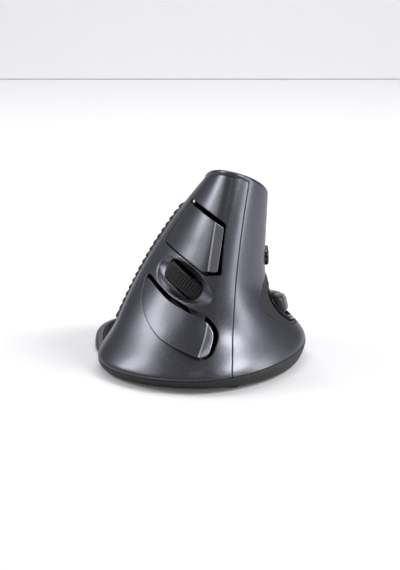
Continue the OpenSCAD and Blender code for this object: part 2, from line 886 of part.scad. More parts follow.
module palm_pad_plan(grow) {
    offset(grow) intersection() {
        offset(-pad_inset) palm_plan();
        translate(palm_mid) circle(pad_reach, $fn = 64);
    }
}

module palm_rest() {
    color("#303034") {
        difference() {
            intersection() {
                translate([0, 0, foot_t]) linear_extrude(palm_h + 2) palm_plan();
                palm_dome(0);
            }
            difference() {
                linear_extrude(palm_h + 2) palm_pad_plan(panel_gap);
                palm_dome(-palm_pad_t);
            }
        }
        translate([tongue_at.x, tongue_at.y, foot_t + fit]) rotate(tongue_dir)
            translate([-tongue_in, -tongue_w / 2, 0]) cube([tongue_in + 4, tongue_w, tongue_t]);
    }
}

module palm_rib_plan() {
    intersection() {
        palm_pad_plan(-0.3);
        for (i = [0:palm_ribs - 1]) rotate(tongue_dir + (i - (palm_ribs - 1) / 2) * pad_rib_step)
            translate([0, -pad_rib_w / 2]) square([big, pad_rib_w]);
    }
}

module palm_pad() {
    color("#151516") difference() {
        union() {
            intersection() {
                translate([0, 0, foot_t]) linear_extrude(palm_h + 2) palm_pad_plan(0);
                palm_dome(0.2);
            }
            intersection() {
                translate([0, 0, foot_t]) linear_extrude(palm_h + 2) palm_rib_plan();
                palm_dome(0.7);
            }
        }
        palm_dome(-palm_pad_t);
    }
}

module foot(at, length, turn) {
    color("#4a4a4e") translate([at.x, at.y, 0]) rotate(turn) linear_extrude(foot_t) stadium(length, foot_r);
}

module palm_foot_front() {
    foot(palm_mid + [-9.4, -10], 5, 84);
}

module palm_foot_rear() {
    foot(palm_mid + [4.5, 19.2], 5, 38);
}

// Base furniture

module foot_front() {
    foot([2, -37.6], 16, 0);
}

module foot_rear() {
    foot([0, bay_y1 + 1.8], 8, 0);
}

module foot_finger() {
    foot([10.6 - finger_reach, -25], 7, 122);
}

module foot_thumb() {
    foot([27.6, -5], 12, 90);
}

module battery_door() {
    color("#232326") difference() {
        translate([bay_mid - door_x, door_y0, foot_t]) cube([2 * door_x, door_y1 - door_y0, floor_t - 0.4]);
        for (i = [0:3]) translate([bay_mid - 5, door_y1 - 9 + 1.6 * i, 0]) cube([10, 0.8, foot_t + 0.5]);
    }
}

module cell(x, y, turn) {
    color("#3d4a3f") translate([x, y, floor_z + cell_d / 2 + 0.1]) rotate([turn, 0, 0]) {
        cylinder(cell_l, r = cell_d / 2, center = true, $fn = 64);
        cylinder(cell_l / 2 + nub_l, r = 1.9, $fn = 32);
    }
}

module cell_left() {
    cell(bay_mid - cell_x, bay_y0 + bay_wall + contact_t + spring_room + cell_l / 2, -90);
}

module cell_right() {
    cell(bay_mid + cell_x, bay_y1 - bay_wall - contact_t - spring_room - cell_l / 2, 90);
}

module contact_plate(y) {
    translate([bay_mid - bay_half + bay_wall + 0.4, y, floor_z + 1])
        cube([2 * (bay_half - bay_wall) - 0.8, contact_t, bay_roof - floor_z - 2]);
}

module contact_front() {
    color("#b9b29a") contact_plate(bay_y0 + bay_wall);
}

module contact_rear() {
    color("#b9b29a") contact_plate(bay_y1 - bay_wall - contact_t);
}

function coil_point(a, r0, r1, length, turns) =
    let (s = a / (360 * turns), r = r0 + (r1 - r0) * s) [r * cos(a), r * sin(a), s * length];

module coil(r0, r1, length, turns, wire) {
    step = 30;
    for (a = [0:step:360 * turns - step])
        rod(coil_point(a, r0, r1, length, turns), coil_point(a + step, r0, r1, length, turns), wire);
}

module cell_springs() {
    z = floor_z + cell_d / 2 + 0.1;
    wire = 0.35;
    color("#c9c4b0") {
        translate([bay_mid - cell_x, bay_y0 + bay_wall + contact_t + wire, z]) rotate([-90, 0, 0])
            coil(3.6, 2, spring_room - 2 * wire, 2, wire);
        translate([bay_mid + cell_x, bay_y1 - bay_wall - contact_t - wire, z]) rotate([90, 0, 0])
            coil(3.6, 2, spring_room - 2 * wire, 2, wire);
    }
}

// Electronics

module main_board() {
    outline = [[-18, 0], [17, 0], [18, -4], [13.5, -18.5], [-11, -18.5], [-18, -9]];
    color("#1d4a33") translate([0, 0, board_z]) linear_extrude(board_t) difference() {
        translate([0, board_back]) round_corners(1) polygon(outline);
        for (p = board_screws_at) translate(p) circle(1.1, $fn = 24);
    }
}

module board_screws() {
    color("#8f8f94") for (p = board_screws_at) translate([p.x, p.y, board_z]) {
        translate([0, 0, board_t]) cylinder(1.1, r = 1.9, $fn = 32);
        translate([0, 0, eps]) cylinder(board_t, r = 0.9, $fn = 32);
    }
}

module sensor() {
    color("#101011") translate([-5, sensor_y - 5, board_z - 2.6]) cube([10, 10, 2.6]);
}

module sensor_lens() {
    color("#9aa3a8") translate([0, sensor_y, 0]) {
        translate([-7, -5, floor_z]) cube([14, 10, board_z - 2.6 - floor_z]);
        translate([0, 0, floor_z - 1.4]) cylinder(1.5, r = 2.8, $fn = 32);
    }
}

module sensor_led() {
    color("#7a2a2a") translate([0, sensor_y + 5 + 0.1, floor_z + 1.7]) rotate([-90, 0, 0]) {
        cylinder(3.6, r = 1.5, $fn = 32);
        translate([-0.3, -4.5, 2]) cube([0.6, 4.5, 0.6]);
    }
}

module controller() {
    color("#101011") translate([-6, board_back - 17, board_z + board_t]) cube([7, 7, 1]);
}

module antenna_module() {
    color("#2c3d52") translate([3, board_back - 16, board_z + board_t]) cube([6, 9, 1.4]);
}

module finger_board() {
    outline = [[-18, -13.9], [9.4, -13.9], [9.4, -9], [3.4, 7.4], [2.6, 19], [-18, 19]];
    half = carrier_in / 2 + [carrier_bar + 0.6, carrier_bar + 0.6];
    color("#1d4a33") tool(finger_board_r - board_t, finger_board_r) difference() {
        polygon(outline);
        translate([wheel_p - half.x + 1.2, wheel_q - half.y + 1.2]) square([60, 2 * half.y - 2.4]);
    }
}

module click_switch(at) {
    color("#222225") on_face() translate([at.x, at.y, finger_board_r]) {
        translate([-6.4, -2.9, 0]) cube([12.8, 5.8, switch_h]);
        translate([0.8, -1.3, switch_h]) cube([1.4, 2.6, switch_nub]);
    }
}

module left_switch() {
    click_switch(left_switch_at);
}

module right_switch() {
    click_switch(right_switch_at);
}

module finger_frame() {
    r = 1.4;
    back = finger_board_r - board_t - 1;
    corners = [
        from_face([-16.4, -10.6, back]), from_face([5, -10.6, back]), from_face([1, 16.6, back]),
        from_face([-16.4, 16.6, back])
    ];
    color("#37373b") difference() {
        union() {
            rod(corners[0], corners[1], r);
            rod(corners[2], corners[3], r);
            rod(corners[3], corners[0], r);
            frame_leg(corners[0], [frame_feet[1].x, frame_feet[1].y, floor_z]);
            frame_leg(corners[2], [frame_feet[0].x, frame_feet[0].y, floor_z]);
            frame_leg(corners[1], [corners[1].x, corners[1].y, board_z + board_t]);
            frame_leg(corners[3], [corners[3].x, corners[3].y + 6, bay_roof + bay_wall - eps]);
            for (c = corners) rod(c, c + 1.2 * face_n, 0.9);
        }
        tool(finger_board_r - board_t, 20) square(80, center = true);
        for (p = frame_feet) translate([p.x, p.y, 0]) cylinder(floor_z + 6, r = 1.1, $fn = 16);
    }
}

module frame_leg(from, to) {
    hull() {
        translate(from) sphere(1.4, $fn = 6);
        translate(to) cylinder(0.6, r = 2.6, $fn = 12);
    }
}

module frame_screws() {
    color("#8f8f94") for (p = frame_feet) translate([p.x, p.y, 0]) {
        translate([0, 0, foot_t + 0.2]) cylinder(1.1, r = 2.2, $fn = 32);
        translate([0, 0, foot_t + 1.2]) cylinder(floor_t + 3, r = 0.95, $fn = 32);
    }
}

module thumb_board() {
    color("#1d4a33") from_side(thumb_board_x, thumb_face_x)
        round_corners(1) polygon([[-5, 5], [21, 5], [21, 19], [9.5, 42], [-1, 42], [-5, 36]]);
}

module tact(y, z, height) {
    color("#222225") {
        translate([thumb_face_x, y - 3, z - 3]) cube([height, 6, 6]);
        translate([thumb_face_x + height, y, z]) rotate([0, 90, 0]) cylinder(switch_nub, r = 1.6, $fn = 24);
    }
}

module key_tact(ends) {
    y = (ends[0] + ends[1]) / 2;
    tact(y, key_line(y), tact_h);
}

module forward_switch() {
    key_tact(forward_key);
}

module back_switch() {
    key_tact(back_key);
}

module dpi_switch() {
    tact(dpi_y, dpi_z, dpi_tact_h);
}

module power_switch() {
    color("#26262a") translate([power_x - 2.5, power_y - 4.5, floor_z + 1.9]) cube([5, 9, 4]);
    color("#26262a") for (s = [-1, 1])
        translate([power_x - 2.5, power_y + s * 6 - 1.5, floor_z]) cube([5, 3, 5.9]);
}

module power_slider() {
    color("#d8d8d4") translate([power_x, power_y, 0]) {
        translate([-2, -2.5, foot_t + 0.5]) cube([4, 5, floor_t]);
        translate([-2, -2.5, floor_z + 0.4]) cube([4, 5, 1.1]);
        for (y = [-1.4, 0, 1.4]) translate([-2, y - 0.25, foot_t + 0.2]) cube([4, 0.5, 0.4]);
    }
}

module receiver_cap() {
    color("#18181a") translate([receiver_x - receiver_w / 2, receiver_y - receiver_l / 2, foot_t + 0.3])
        cube([receiver_w, 7, receiver_h - 0.2]);
}

module receiver_plug() {
    color("#a9abb0") translate([receiver_x - 6, receiver_y - receiver_l / 2 + 7, foot_t + 1]) difference() {
        cube([12, receiver_l - 7, 4.5]);
        translate([0.4, 2, 2]) cube([11.2, receiver_l, 2.1]);
    }
}

module ribbon(points, width_dir) {
    color("#c8c6be") for (i = [0:len(points) - 2]) hull() {
        for (s = [-1, 1]) {
            translate(points[i] + s * width_dir) sphere(0.3, $fn = 6);
            translate(points[i + 1] + s * width_dir) sphere(0.3, $fn = 6);
        }
    }
}

module finger_ribbon() {
    behind = finger_board_r - board_t;
    start = from_face([2.3, -13.2, behind - 0.65]);
    end = [start.x - 1.7, board_back - 2, board_z + board_t + 0.28];
    ribbon([start, end], [1.1, -1.6, 0]);
}

module thumb_ribbon() {
    start = [thumb_board_x - 0.28, -1, 24];
    end = [11, board_back - 4, board_z + board_t + 0.28];
    over_bay = [thumb_board_x - 2.4, bay_y0 + 3.6, bay_roof + bay_wall + 6];
    ribbon([start, start - [1.4, 1, 1], over_bay, end + [0, 3, 4], end], [0, 1.6, 0]);
}

base_plate();
finger_shell();
thumb_shell();
finger_grip();
left_button();
right_button();
wheel_tyre();
wheel_hub();
wheel_axle();
wheel_carrier();
wheel_encoder();
wheel_switch();
thumb_pad();
thumb_bezel();
forward_button();
back_button();
dpi_button();
palm_rest();
palm_pad();
palm_foot_front();
palm_foot_rear();
foot_front();
foot_rear();
foot_finger();
foot_thumb();
battery_door();
cell_left();
cell_right();
contact_front();
contact_rear();
cell_springs();
main_board();
sensor();
sensor_lens();
sensor_led();
controller();
antenna_module();
finger_board();
left_switch();
right_switch();
finger_frame();
frame_screws();
board_screws();
thumb_board();
forward_switch();
back_switch();
dpi_switch();
power_switch();
power_slider();
receiver_cap();
receiver_plug();
finger_ribbon();
thumb_ribbon();
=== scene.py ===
"""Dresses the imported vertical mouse: smooth panels, keys, wheel, pads and finishes in the CAD frame."""
import logging
import math
from dataclasses import dataclass, field
from enum import Enum
from typing import Callable, Iterable, Optional, Protocol, Sequence, Union

import bpy
import numpy as np
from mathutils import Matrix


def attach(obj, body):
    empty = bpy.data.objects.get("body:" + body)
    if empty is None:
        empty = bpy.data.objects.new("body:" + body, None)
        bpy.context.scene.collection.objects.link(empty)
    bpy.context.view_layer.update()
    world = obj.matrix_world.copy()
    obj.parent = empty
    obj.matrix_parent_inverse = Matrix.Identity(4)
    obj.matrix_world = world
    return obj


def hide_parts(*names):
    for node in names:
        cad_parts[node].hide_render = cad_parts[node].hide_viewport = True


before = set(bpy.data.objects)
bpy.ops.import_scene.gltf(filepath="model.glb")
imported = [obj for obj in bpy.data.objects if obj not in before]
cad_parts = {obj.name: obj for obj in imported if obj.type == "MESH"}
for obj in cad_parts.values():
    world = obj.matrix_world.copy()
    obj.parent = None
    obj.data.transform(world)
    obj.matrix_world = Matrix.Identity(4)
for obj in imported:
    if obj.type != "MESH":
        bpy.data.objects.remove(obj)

LOG = logging.getLogger("vertical_mouse")
MM = 0.001
Array = np.ndarray
Pair = tuple[float, float]
Triple = tuple[float, float, float]
# Distance of points that an outline cannot reach, and how far behind the finger face one still counts (mm).
FAR = 50.0
FACE_DEPTH = 14.0


def ramp(a: Array) -> Array:
    """Limits values to 0..1."""
    return np.clip(a, 0.0, 1.0)


def smooth(a: Array) -> Array:
    """Eases values over 0..1 with flat ends: 3a^2 - 2a^3."""
    a = ramp(a)
    return a * a * (3.0 - 2.0 * a)


def bell(z: Array, centre: float, width: float) -> Array:
    """Gives a bell curve of height 1."""
    return np.exp(-(((z - centre) / width) ** 2))


def placed(shape: Sequence[Sequence[float]], middle: Sequence[float], half: Sequence[float]) -> Array:
    """Sizes a shape drawn in a square from -1 to 1, and moves it to its middle."""
    return np.asarray(middle) + np.asarray(shape) * np.asarray(half)


def loop_curve(points: Sequence[Sequence[float]], steps: int) -> Array:
    """Runs a smooth closed curve through given points (uniform Catmull-Rom).

    Args:
        points: Corner points of the loop.
        steps: Points made per corner.

    Returns:
        Array of shape (corners * steps, 2).
    """
    b = np.asarray(points, float)[:, None, :]
    a, c, d = np.roll(b, 1, 0), np.roll(b, -1, 0), np.roll(b, -2, 0)
    t = (np.arange(steps) / steps)[None, :, None]
    curve = (2 * b + (c - a) * t + (2 * a - 5 * b + 4 * c - d) * t**2 + (3 * b - a - 3 * c + d) * t**3) / 2
    return curve.reshape(-1, 2)


def round_corners(points: Sequence[Sequence[float]], radius: float, steps: int = 6) -> Array:
    """Rounds the corners of a polygon with quadratic arcs that leave the sides where a circle would.

    Args:
        points: Corners in order.
        radius: Radius of the circle at each corner.
        steps: Points per corner.

    Returns:
        Array of outline points.
    """
    b = np.asarray(points, float)
    before, after = np.roll(b, 1, 0) - b, np.roll(b, -1, 0) - b
    before /= np.linalg.norm(before, axis=1, keepdims=True)
    after /= np.linalg.norm(after, axis=1, keepdims=True)
    cosine = (before * after).sum(1, keepdims=True)
    reach = radius * np.sqrt((1 + cosine) / (1 - cosine))
    start, end = b + reach * before, b + reach * after
    t = np.linspace(0, 1, steps)[None, :, None]
    arcs = (1 - t) ** 2 * start[:, None] + 2 * t * (1 - t) * b[:, None] + t**2 * end[:, None]
    return arcs.reshape(-1, 2)


def outline_distance(at: Array, outline: Array) -> Array:
    """Measures the signed distance from points to a closed outline, negative inside.

    Args:
        at: Points, shape (n, 2).
        outline: Closed outline, shape (k, 2).

    Returns:
        Signed distances, shape (n,).
    """
    a, b = outline, np.roll(outline, -1, 0)
    edge = b - a
    best = np.full(len(at), np.inf)
    inside = np.zeros(len(at), bool)
    for start, step, end in zip(a, edge, b):
        rel = at - start
        along = ramp(rel @ step / max(step @ step, 1e-12))
        best = np.minimum(best, np.hypot(*(rel - along[:, None] * step).T))
        crosses = (start[1] > at[:, 1]) != (end[1] > at[:, 1])
        rise = step[1] if abs(step[1]) > 1e-12 else 1e-12
        inside ^= crosses & (at[:, 0] < start[0] + (at[:, 1] - start[1]) / rise * step[0])
    return np.where(inside, -best, best)


def bar_distance(at: Array, start: Sequence[float], end: Sequence[float], radius: float) -> Array:
    """Measures the signed distance to a bar with round ends, negative inside.

    Args:
        at: Points, shape (n, 2).
        start: Centre of the first round end.
        end: Centre of the second round end.
        radius: Half the bar's width.

    Returns:
        Signed distances, shape (n,).
    """
    rel, step = at - np.asarray(start), np.asarray(end) - np.asarray(start)
    along = ramp(rel @ step / (step @ step))
    return np.hypot(*(rel - along[:, None] * step).T) - radius


@dataclass
class BodyForm:
    """The moulded body: a stack of sections whose four reaches change with height (mm)."""

    height: float = 67.0
    finger_reach: float = 34.0
    thumb_waist: float = 20.7
    thumb_flare: float = 15.6
    flare_fade: float = 14.5
    front_reach: float = 41.0
    front_lip: float = 9.0
    back_reach: float = 44.0
    slope_x: float = 0.27
    slope_y: float = 0.34
    rim: float = 1.7
    foot: float = 0.8
    side_pull: float = 0.55
    crown_at: Pair = (10.0, -14.0)
    side_tuck: float = 3.0
    front_tuck: float = 5.0
    thumb_tuck: float = 1.8
    tuck_z: float = 4.6
    flare_z: float = 6.5

    def tuck(self, z: Array, depth: float) -> Array:
        """Draws the sections in near the desk."""
        return depth * ramp((self.tuck_z - z) / (self.tuck_z - self.foot)) ** 2

    def plan(self, z: Array, t: Array, inset: Array) -> Array:
        """Gives points of the horizontal sections: four cubic curves from nose to thumb, tail, finger and nose.

        Args:
            z: Nominal height of each point's section.
            t: Position round the section; 4 is one turn.
            inset: How far the reaches are drawn in.

        Returns:
            Plan points, shape (n, 2).
        """
        h = self.height
        low = -self.thumb_tuck * ramp((self.flare_z - z) / (self.flare_z - self.foot)) ** 1.6
        flare = np.where(z > self.flare_z, bell(z, self.flare_z, self.flare_fade), 1.0)
        n = np.stack([12.5 * z / h - 0.5, self.tuck(z, self.front_tuck) - self.front_reach + 26 * (z / h) ** 1.25
                      - self.front_lip * bell(z, 3, 9) + inset], -1)
        r = np.stack([self.thumb_waist + 0.04 * z + self.thumb_flare * flare + low - inset, z / 15], -1)
        b = np.stack([14.5 * z / h - 2, self.back_reach - 20 * (z / 55) ** 1.6 - self.tuck(z, self.side_tuck)
                      - inset], -1)
        l = np.stack([self.tuck(z, self.side_tuck) - self.finger_reach + 0.42 * z + 0.127 * z * z / h
                      - 2.5 * bell(z, 2.5, 5.5) + inset, 8 - 24 * (1 - ramp(z / 40)) ** 1.3], -1)
        zero, t = np.zeros_like(z), np.mod(t, 4.0)
        nose = np.stack([6 + 13 * (1 - ramp(z / 30)) ** 1.5, zero], -1)
        tail = np.stack([6.5 + 12.5 * (1 - ramp(z / 50)), zero], -1)

        def up(a: Array, c: Array) -> Array:
            """Handle that leaves a side straight along Y."""
            return np.stack([zero, self.side_pull * (c[:, 1] - a[:, 1])], -1)

        quarters = np.stack([
            np.stack([n, n + nose, r - up(n, r), r]), np.stack([r, r + up(r, b), b + tail, b]),
            np.stack([b, b - tail, l + up(l, b), l]), np.stack([l, l - up(n, l), n - nose, n]),
        ])
        q = np.clip(np.floor(t).astype(int), 0, 3)
        s = (t - q)[None, :, None]
        c = np.moveaxis(quarters[q, :, np.arange(len(t))], 1, 0)
        return ((1 - s) ** 3 * c[0:1] + 3 * (1 - s) ** 2 * s * c[1:2] + 3 * (1 - s) * s**2 * c[2:3]
                + s**3 * c[3:4])[0]

    def crown(self, xy: Array) -> Array:
        """Height of the sloped crown plane over plan points."""
        return self.height - self.slope_x * (xy[:, 0] - self.crown_at[0]) - self.slope_y * (xy[:, 1] - self.crown_at[1])

    def points(self, uv: Array) -> Array:
        """Gives surface points: v 0..1 climbs the side, 1..2 turns over the rim, 2..3 closes the crown.

        Args:
            uv: Pairs (v, t), t from 0 to 4 round the body.

        Returns:
            Points in mm, shape (n, 3).
        """
        v, t = uv[:, 0], uv[:, 1]
        side, angle, cap = ramp(v), ramp(v - 1) * math.pi / 2, ramp(v - 2)
        top = self.height - self.rim
        xy = self.plan(self.foot + side * (top - self.foot), t, self.rim * (1 - np.cos(angle)))
        if np.any(cap > 0):
            ring = np.linspace(0, 4, 49)[:-1]
            middle = self.plan(np.full(48, top), ring, np.full(48, self.rim)).mean(0)
            xy = xy + cap[:, None] * (middle - xy)
        crown = self.crown(xy)
        z = self.foot + side * (crown - self.rim - self.foot) + self.rim * np.sin(angle)
        return np.column_stack([xy, z])

    def normals(self, uv: Array) -> Array:
        """Gives outward unit normals from small steps along the two parameters."""
        e = 2e-4
        v, t = uv[:, 0], uv[:, 1]
        hi, lo = np.minimum(v + e, 2.0), np.clip(v - e, 0.0, 2.0 - 2 * e)
        dv = self.points(np.column_stack([hi, t])) - self.points(np.column_stack([lo, t]))
        w = np.minimum(v, 2.0)
        dt = self.points(np.column_stack([w, t + e])) - self.points(np.column_stack([w, t - e]))
        n = np.cross(dt, dv)
        flat = np.array([self.slope_x, self.slope_y, 1.0])
        n = np.where((v >= 2.0)[:, None], flat, n)
        return n / np.maximum(np.linalg.norm(n, axis=1, keepdims=True), 1e-12)

    def thumb_points(self, yz: Array) -> Array:
        """Finds the thumb side's points at given (y, z) by Newton's steps on (v, t)."""
        uv, e = np.column_stack([yz[:, 1] / self.height, 1 + yz[:, 0] / 60]), 1e-3
        for _ in range(8):
            here = self.points(uv)[:, 1:]
            dv = (self.points(uv + [e, 0])[:, 1:] - here) / e
            dt = (self.points(uv + [0, e])[:, 1:] - here) / e
            off = yz - here
            det = dv[:, 0] * dt[:, 1] - dv[:, 1] * dt[:, 0]
            uv = uv + np.column_stack([off[:, 0] * dt[:, 1] - off[:, 1] * dt[:, 0],
                                       dv[:, 0] * off[:, 1] - dv[:, 1] * off[:, 0]]) / det[:, None]
        return self.points(uv)


BODY = BodyForm()


@dataclass
class FaceFrame:
    """Local frame on the finger face: p runs along the fingers, q across them, r out of the face."""

    turn: float = 226.0
    tilt: float = 31.0
    dip: float = 22.0
    at: Pair = (29.88 / 67.0, 3.607)
    origin: Array = field(init=False)
    axes: Array = field(init=False)

    def __post_init__(self) -> None:
        """Works out the frame's origin on the body and its three directions."""
        a, b, c = (math.radians(d) for d in (self.turn, self.tilt, self.dip))
        n = np.array([math.cos(b) * math.cos(a), math.cos(b) * math.sin(a), math.sin(b)])
        east = np.array([-math.sin(a), math.cos(a), 0.0])
        f = math.cos(c) * east - math.sin(c) * np.cross(n, east)
        self.axes = np.stack([f, np.cross(n, f), n])
        self.origin = BODY.points(np.array([self.at]))[0]

    def local(self, points: Array) -> Array:
        """Turns body points into (p, q, r)."""
        return (points - self.origin) @ self.axes.T

    def world(self, local: Array) -> Array:
        """Turns (p, q, r) into body points."""
        return self.origin + np.asarray(local) @ self.axes


FACE = FaceFrame()


@dataclass
class Layout:
    """Outlines and joints that several pieces share (mm)."""

    wall: float = 2.0
    panel_gap: float = 0.12
    part_z: float = 4.6
    part_slope: float = 0.04
    seam_foot: float = 10.4
    seam_lean: float = 6.8
    cap_drop: float = 0.2
    key_gap_top: float = 0.9
    wheel_at: Pair = (-0.8, -0.4)
    slot_half: float = 10.2
    slot_r: float = 3.6
    key_z: float = 20.0
    key_fall: float = 0.19
    key_r: float = 2.6
    forward: Pair = (-5.5, 4.5)
    back: Pair = (11.5, 20.5)
    key_play: float = 0.35
    bezel_drop: float = 1.3
    bezel_rim: float = 2.4
    dpi_at: Pair = (5.0, 34.0)
    dpi_half: float = 2.3
    dpi_r: float = 2.6
    dpi_turn: float = 8.0
    upper: Array = field(default_factory=lambda: round_corners(
        [[-21.5, 4.4], [7.4, 5.81], [10.7, 8.91], [1.2, 23.2], [-21.5, 21.9]], 1.2))
    lower: Array = field(default_factory=lambda: loop_curve(placed([
        [-1, 0.59], [-0.59, 0.63], [-0.17, 0.63], [0.24, 0.81], [0.51, 1], [0.71, 0.84], [0.88, 0.33], [1, -0.23],
        [0.9, -0.61], [0.33, -1], [-0.15, -0.93], [-0.54, -0.63], [-0.83, -0.15]], (4.8, -11.7), (21.8, 7.5)), 8))
    thumb_pad: Array = field(default_factory=lambda: loop_curve(placed([
        [-1, 0.03], [-0.91, 0.5], [-0.55, 0.85], [0.05, 1], [0.66, 0.85], [1, 0.3], [1, -0.5], [0.61, -1],
        [-0.08, -0.91], [-0.72, -0.59]], (3.75, 19.7), (23.25, 9.3)), 8))
    grip: Array = field(default_factory=lambda: loop_curve(placed([
        [-1, -0.97], [-0.68, -0.56], [-0.5, -0.06], [-0.41, 0.48], [-0.39, 0.9], [0.06, 1], [0.56, 0.53],
        [0.91, -0.06], [1, -0.8], [0.53, -0.99], [-0.29, -1]], (13, 32.25), (17, 20.25)), 6))
    palm: Array = field(default_factory=lambda: loop_curve(placed([
        [-0.625, -1], [-0.91, -0.72], [-1, -0.3], [-0.95, 0.08], [-0.725, 0.415], [-0.3, 0.73], [0.375, 1],
        [1, 0.97], [0.81, 0.54], [0.06, -0.16]], (-21, 20.6), (16, 28.6)), 8))

    def seam(self, p: Array) -> Array:
        """Distance past the seam between the panels, positive on the thumb panel and the crown."""
        side = p[:, 0] - self.seam_foot - self.seam_lean * (np.maximum(p[:, 2], 0) / BODY.height) ** 2
        crown = (p[:, 2] - BODY.crown(p[:, :2]) + BODY.rim + self.cap_drop) * 0.93
        return np.maximum(side, crown)

    def joint(self, p: Array) -> Array:
        """Distance above the joint between base and panels."""
        return (p[:, 2] - self.part_z - self.part_slope * p[:, 0]) * 0.999

    def on_face(self, p: Array, outline: Array, slide: Pair = (0, 0), depth: float = FACE_DEPTH) -> Array:
        """Distance to an outline slid over the finger face, large far behind it."""
        c = FACE.local(p)
        d = outline_distance(c[:, :2] - np.array(slide), outline)
        return np.where(c[:, 2] < -depth, FAR, d)

    def slot(self, p: Array) -> Array:
        """Distance to the wheel's slot."""
        c = FACE.local(p)
        end = np.array([self.slot_half - self.slot_r, 0.0])
        d = bar_distance(c[:, :2], self.wheel_at - end, self.wheel_at + end, self.slot_r)
        return np.where(c[:, 2] < -FACE_DEPTH, FAR, d)

    def on_finger_side(self, p: Array, outline: Array) -> Array:
        """Distance to an outline drawn from the finger side, as (y, z)."""
        return np.where(p[:, 0] < -2, outline_distance(p[:, 1:], outline), FAR)

    def on_thumb_side(self, p: Array, distance: Callable[[Array], Array]) -> Array:
        """Distance to an outline drawn from the thumb side, as (y, z)."""
        return np.where(p[:, 0] > 2, distance(p[:, 1:]), FAR)

    def key_end(self, y: float, drop: float = 0.0) -> Pair:
        """Gives (y, z) on the thumb keys' falling line."""
        return y, self.key_z - self.key_fall * (y - self.forward[0]) - drop

    def key_hole(self, yz: Array, ends: Pair, radius: float) -> Array:
        """Distance to a thumb key's outline."""
        return bar_distance(yz, self.key_end(ends[0]), self.key_end(ends[1]), radius)

    def bezel(self, yz: Array) -> Array:
        """Distance to the bezel's outline."""
        front, back = (self.key_end(y, self.bezel_drop) for y in (self.forward[0], self.back[1]))
        return bar_distance(yz, front, back, self.key_r + self.bezel_rim)

    def dpi(self, yz: Array) -> Array:
        """Distance to the resolution key's outline."""
        turn = math.radians(self.dpi_turn)
        end = self.dpi_half * np.array([math.cos(turn), math.sin(turn)])
        return bar_distance(yz, self.dpi_at - end, self.dpi_at + end, self.dpi_r)

    def palm_distance(self, xy: Array) -> Array:
        """Distance inside the palm rest's plan: within its outline and clear of three body sections."""
        t = np.linspace(0, 4, 97)[:-1]
        sections = [BODY.plan(np.full(96, z), t, np.zeros(96)) for z in (2.2, 3.2, 4.5)]
        return np.minimum.reduce([-outline_distance(xy, self.palm), *(outline_distance(xy, s) - 0.5 for s in sections)])


LAYOUT = Layout()


class Surface(Protocol):
    """A surface of two parameters."""

    def points(self, uv: Array) -> Array:
        """Gives points for parameter pairs."""

    def normals(self, uv: Array) -> Array:
        """Gives unit normals for parameter pairs."""


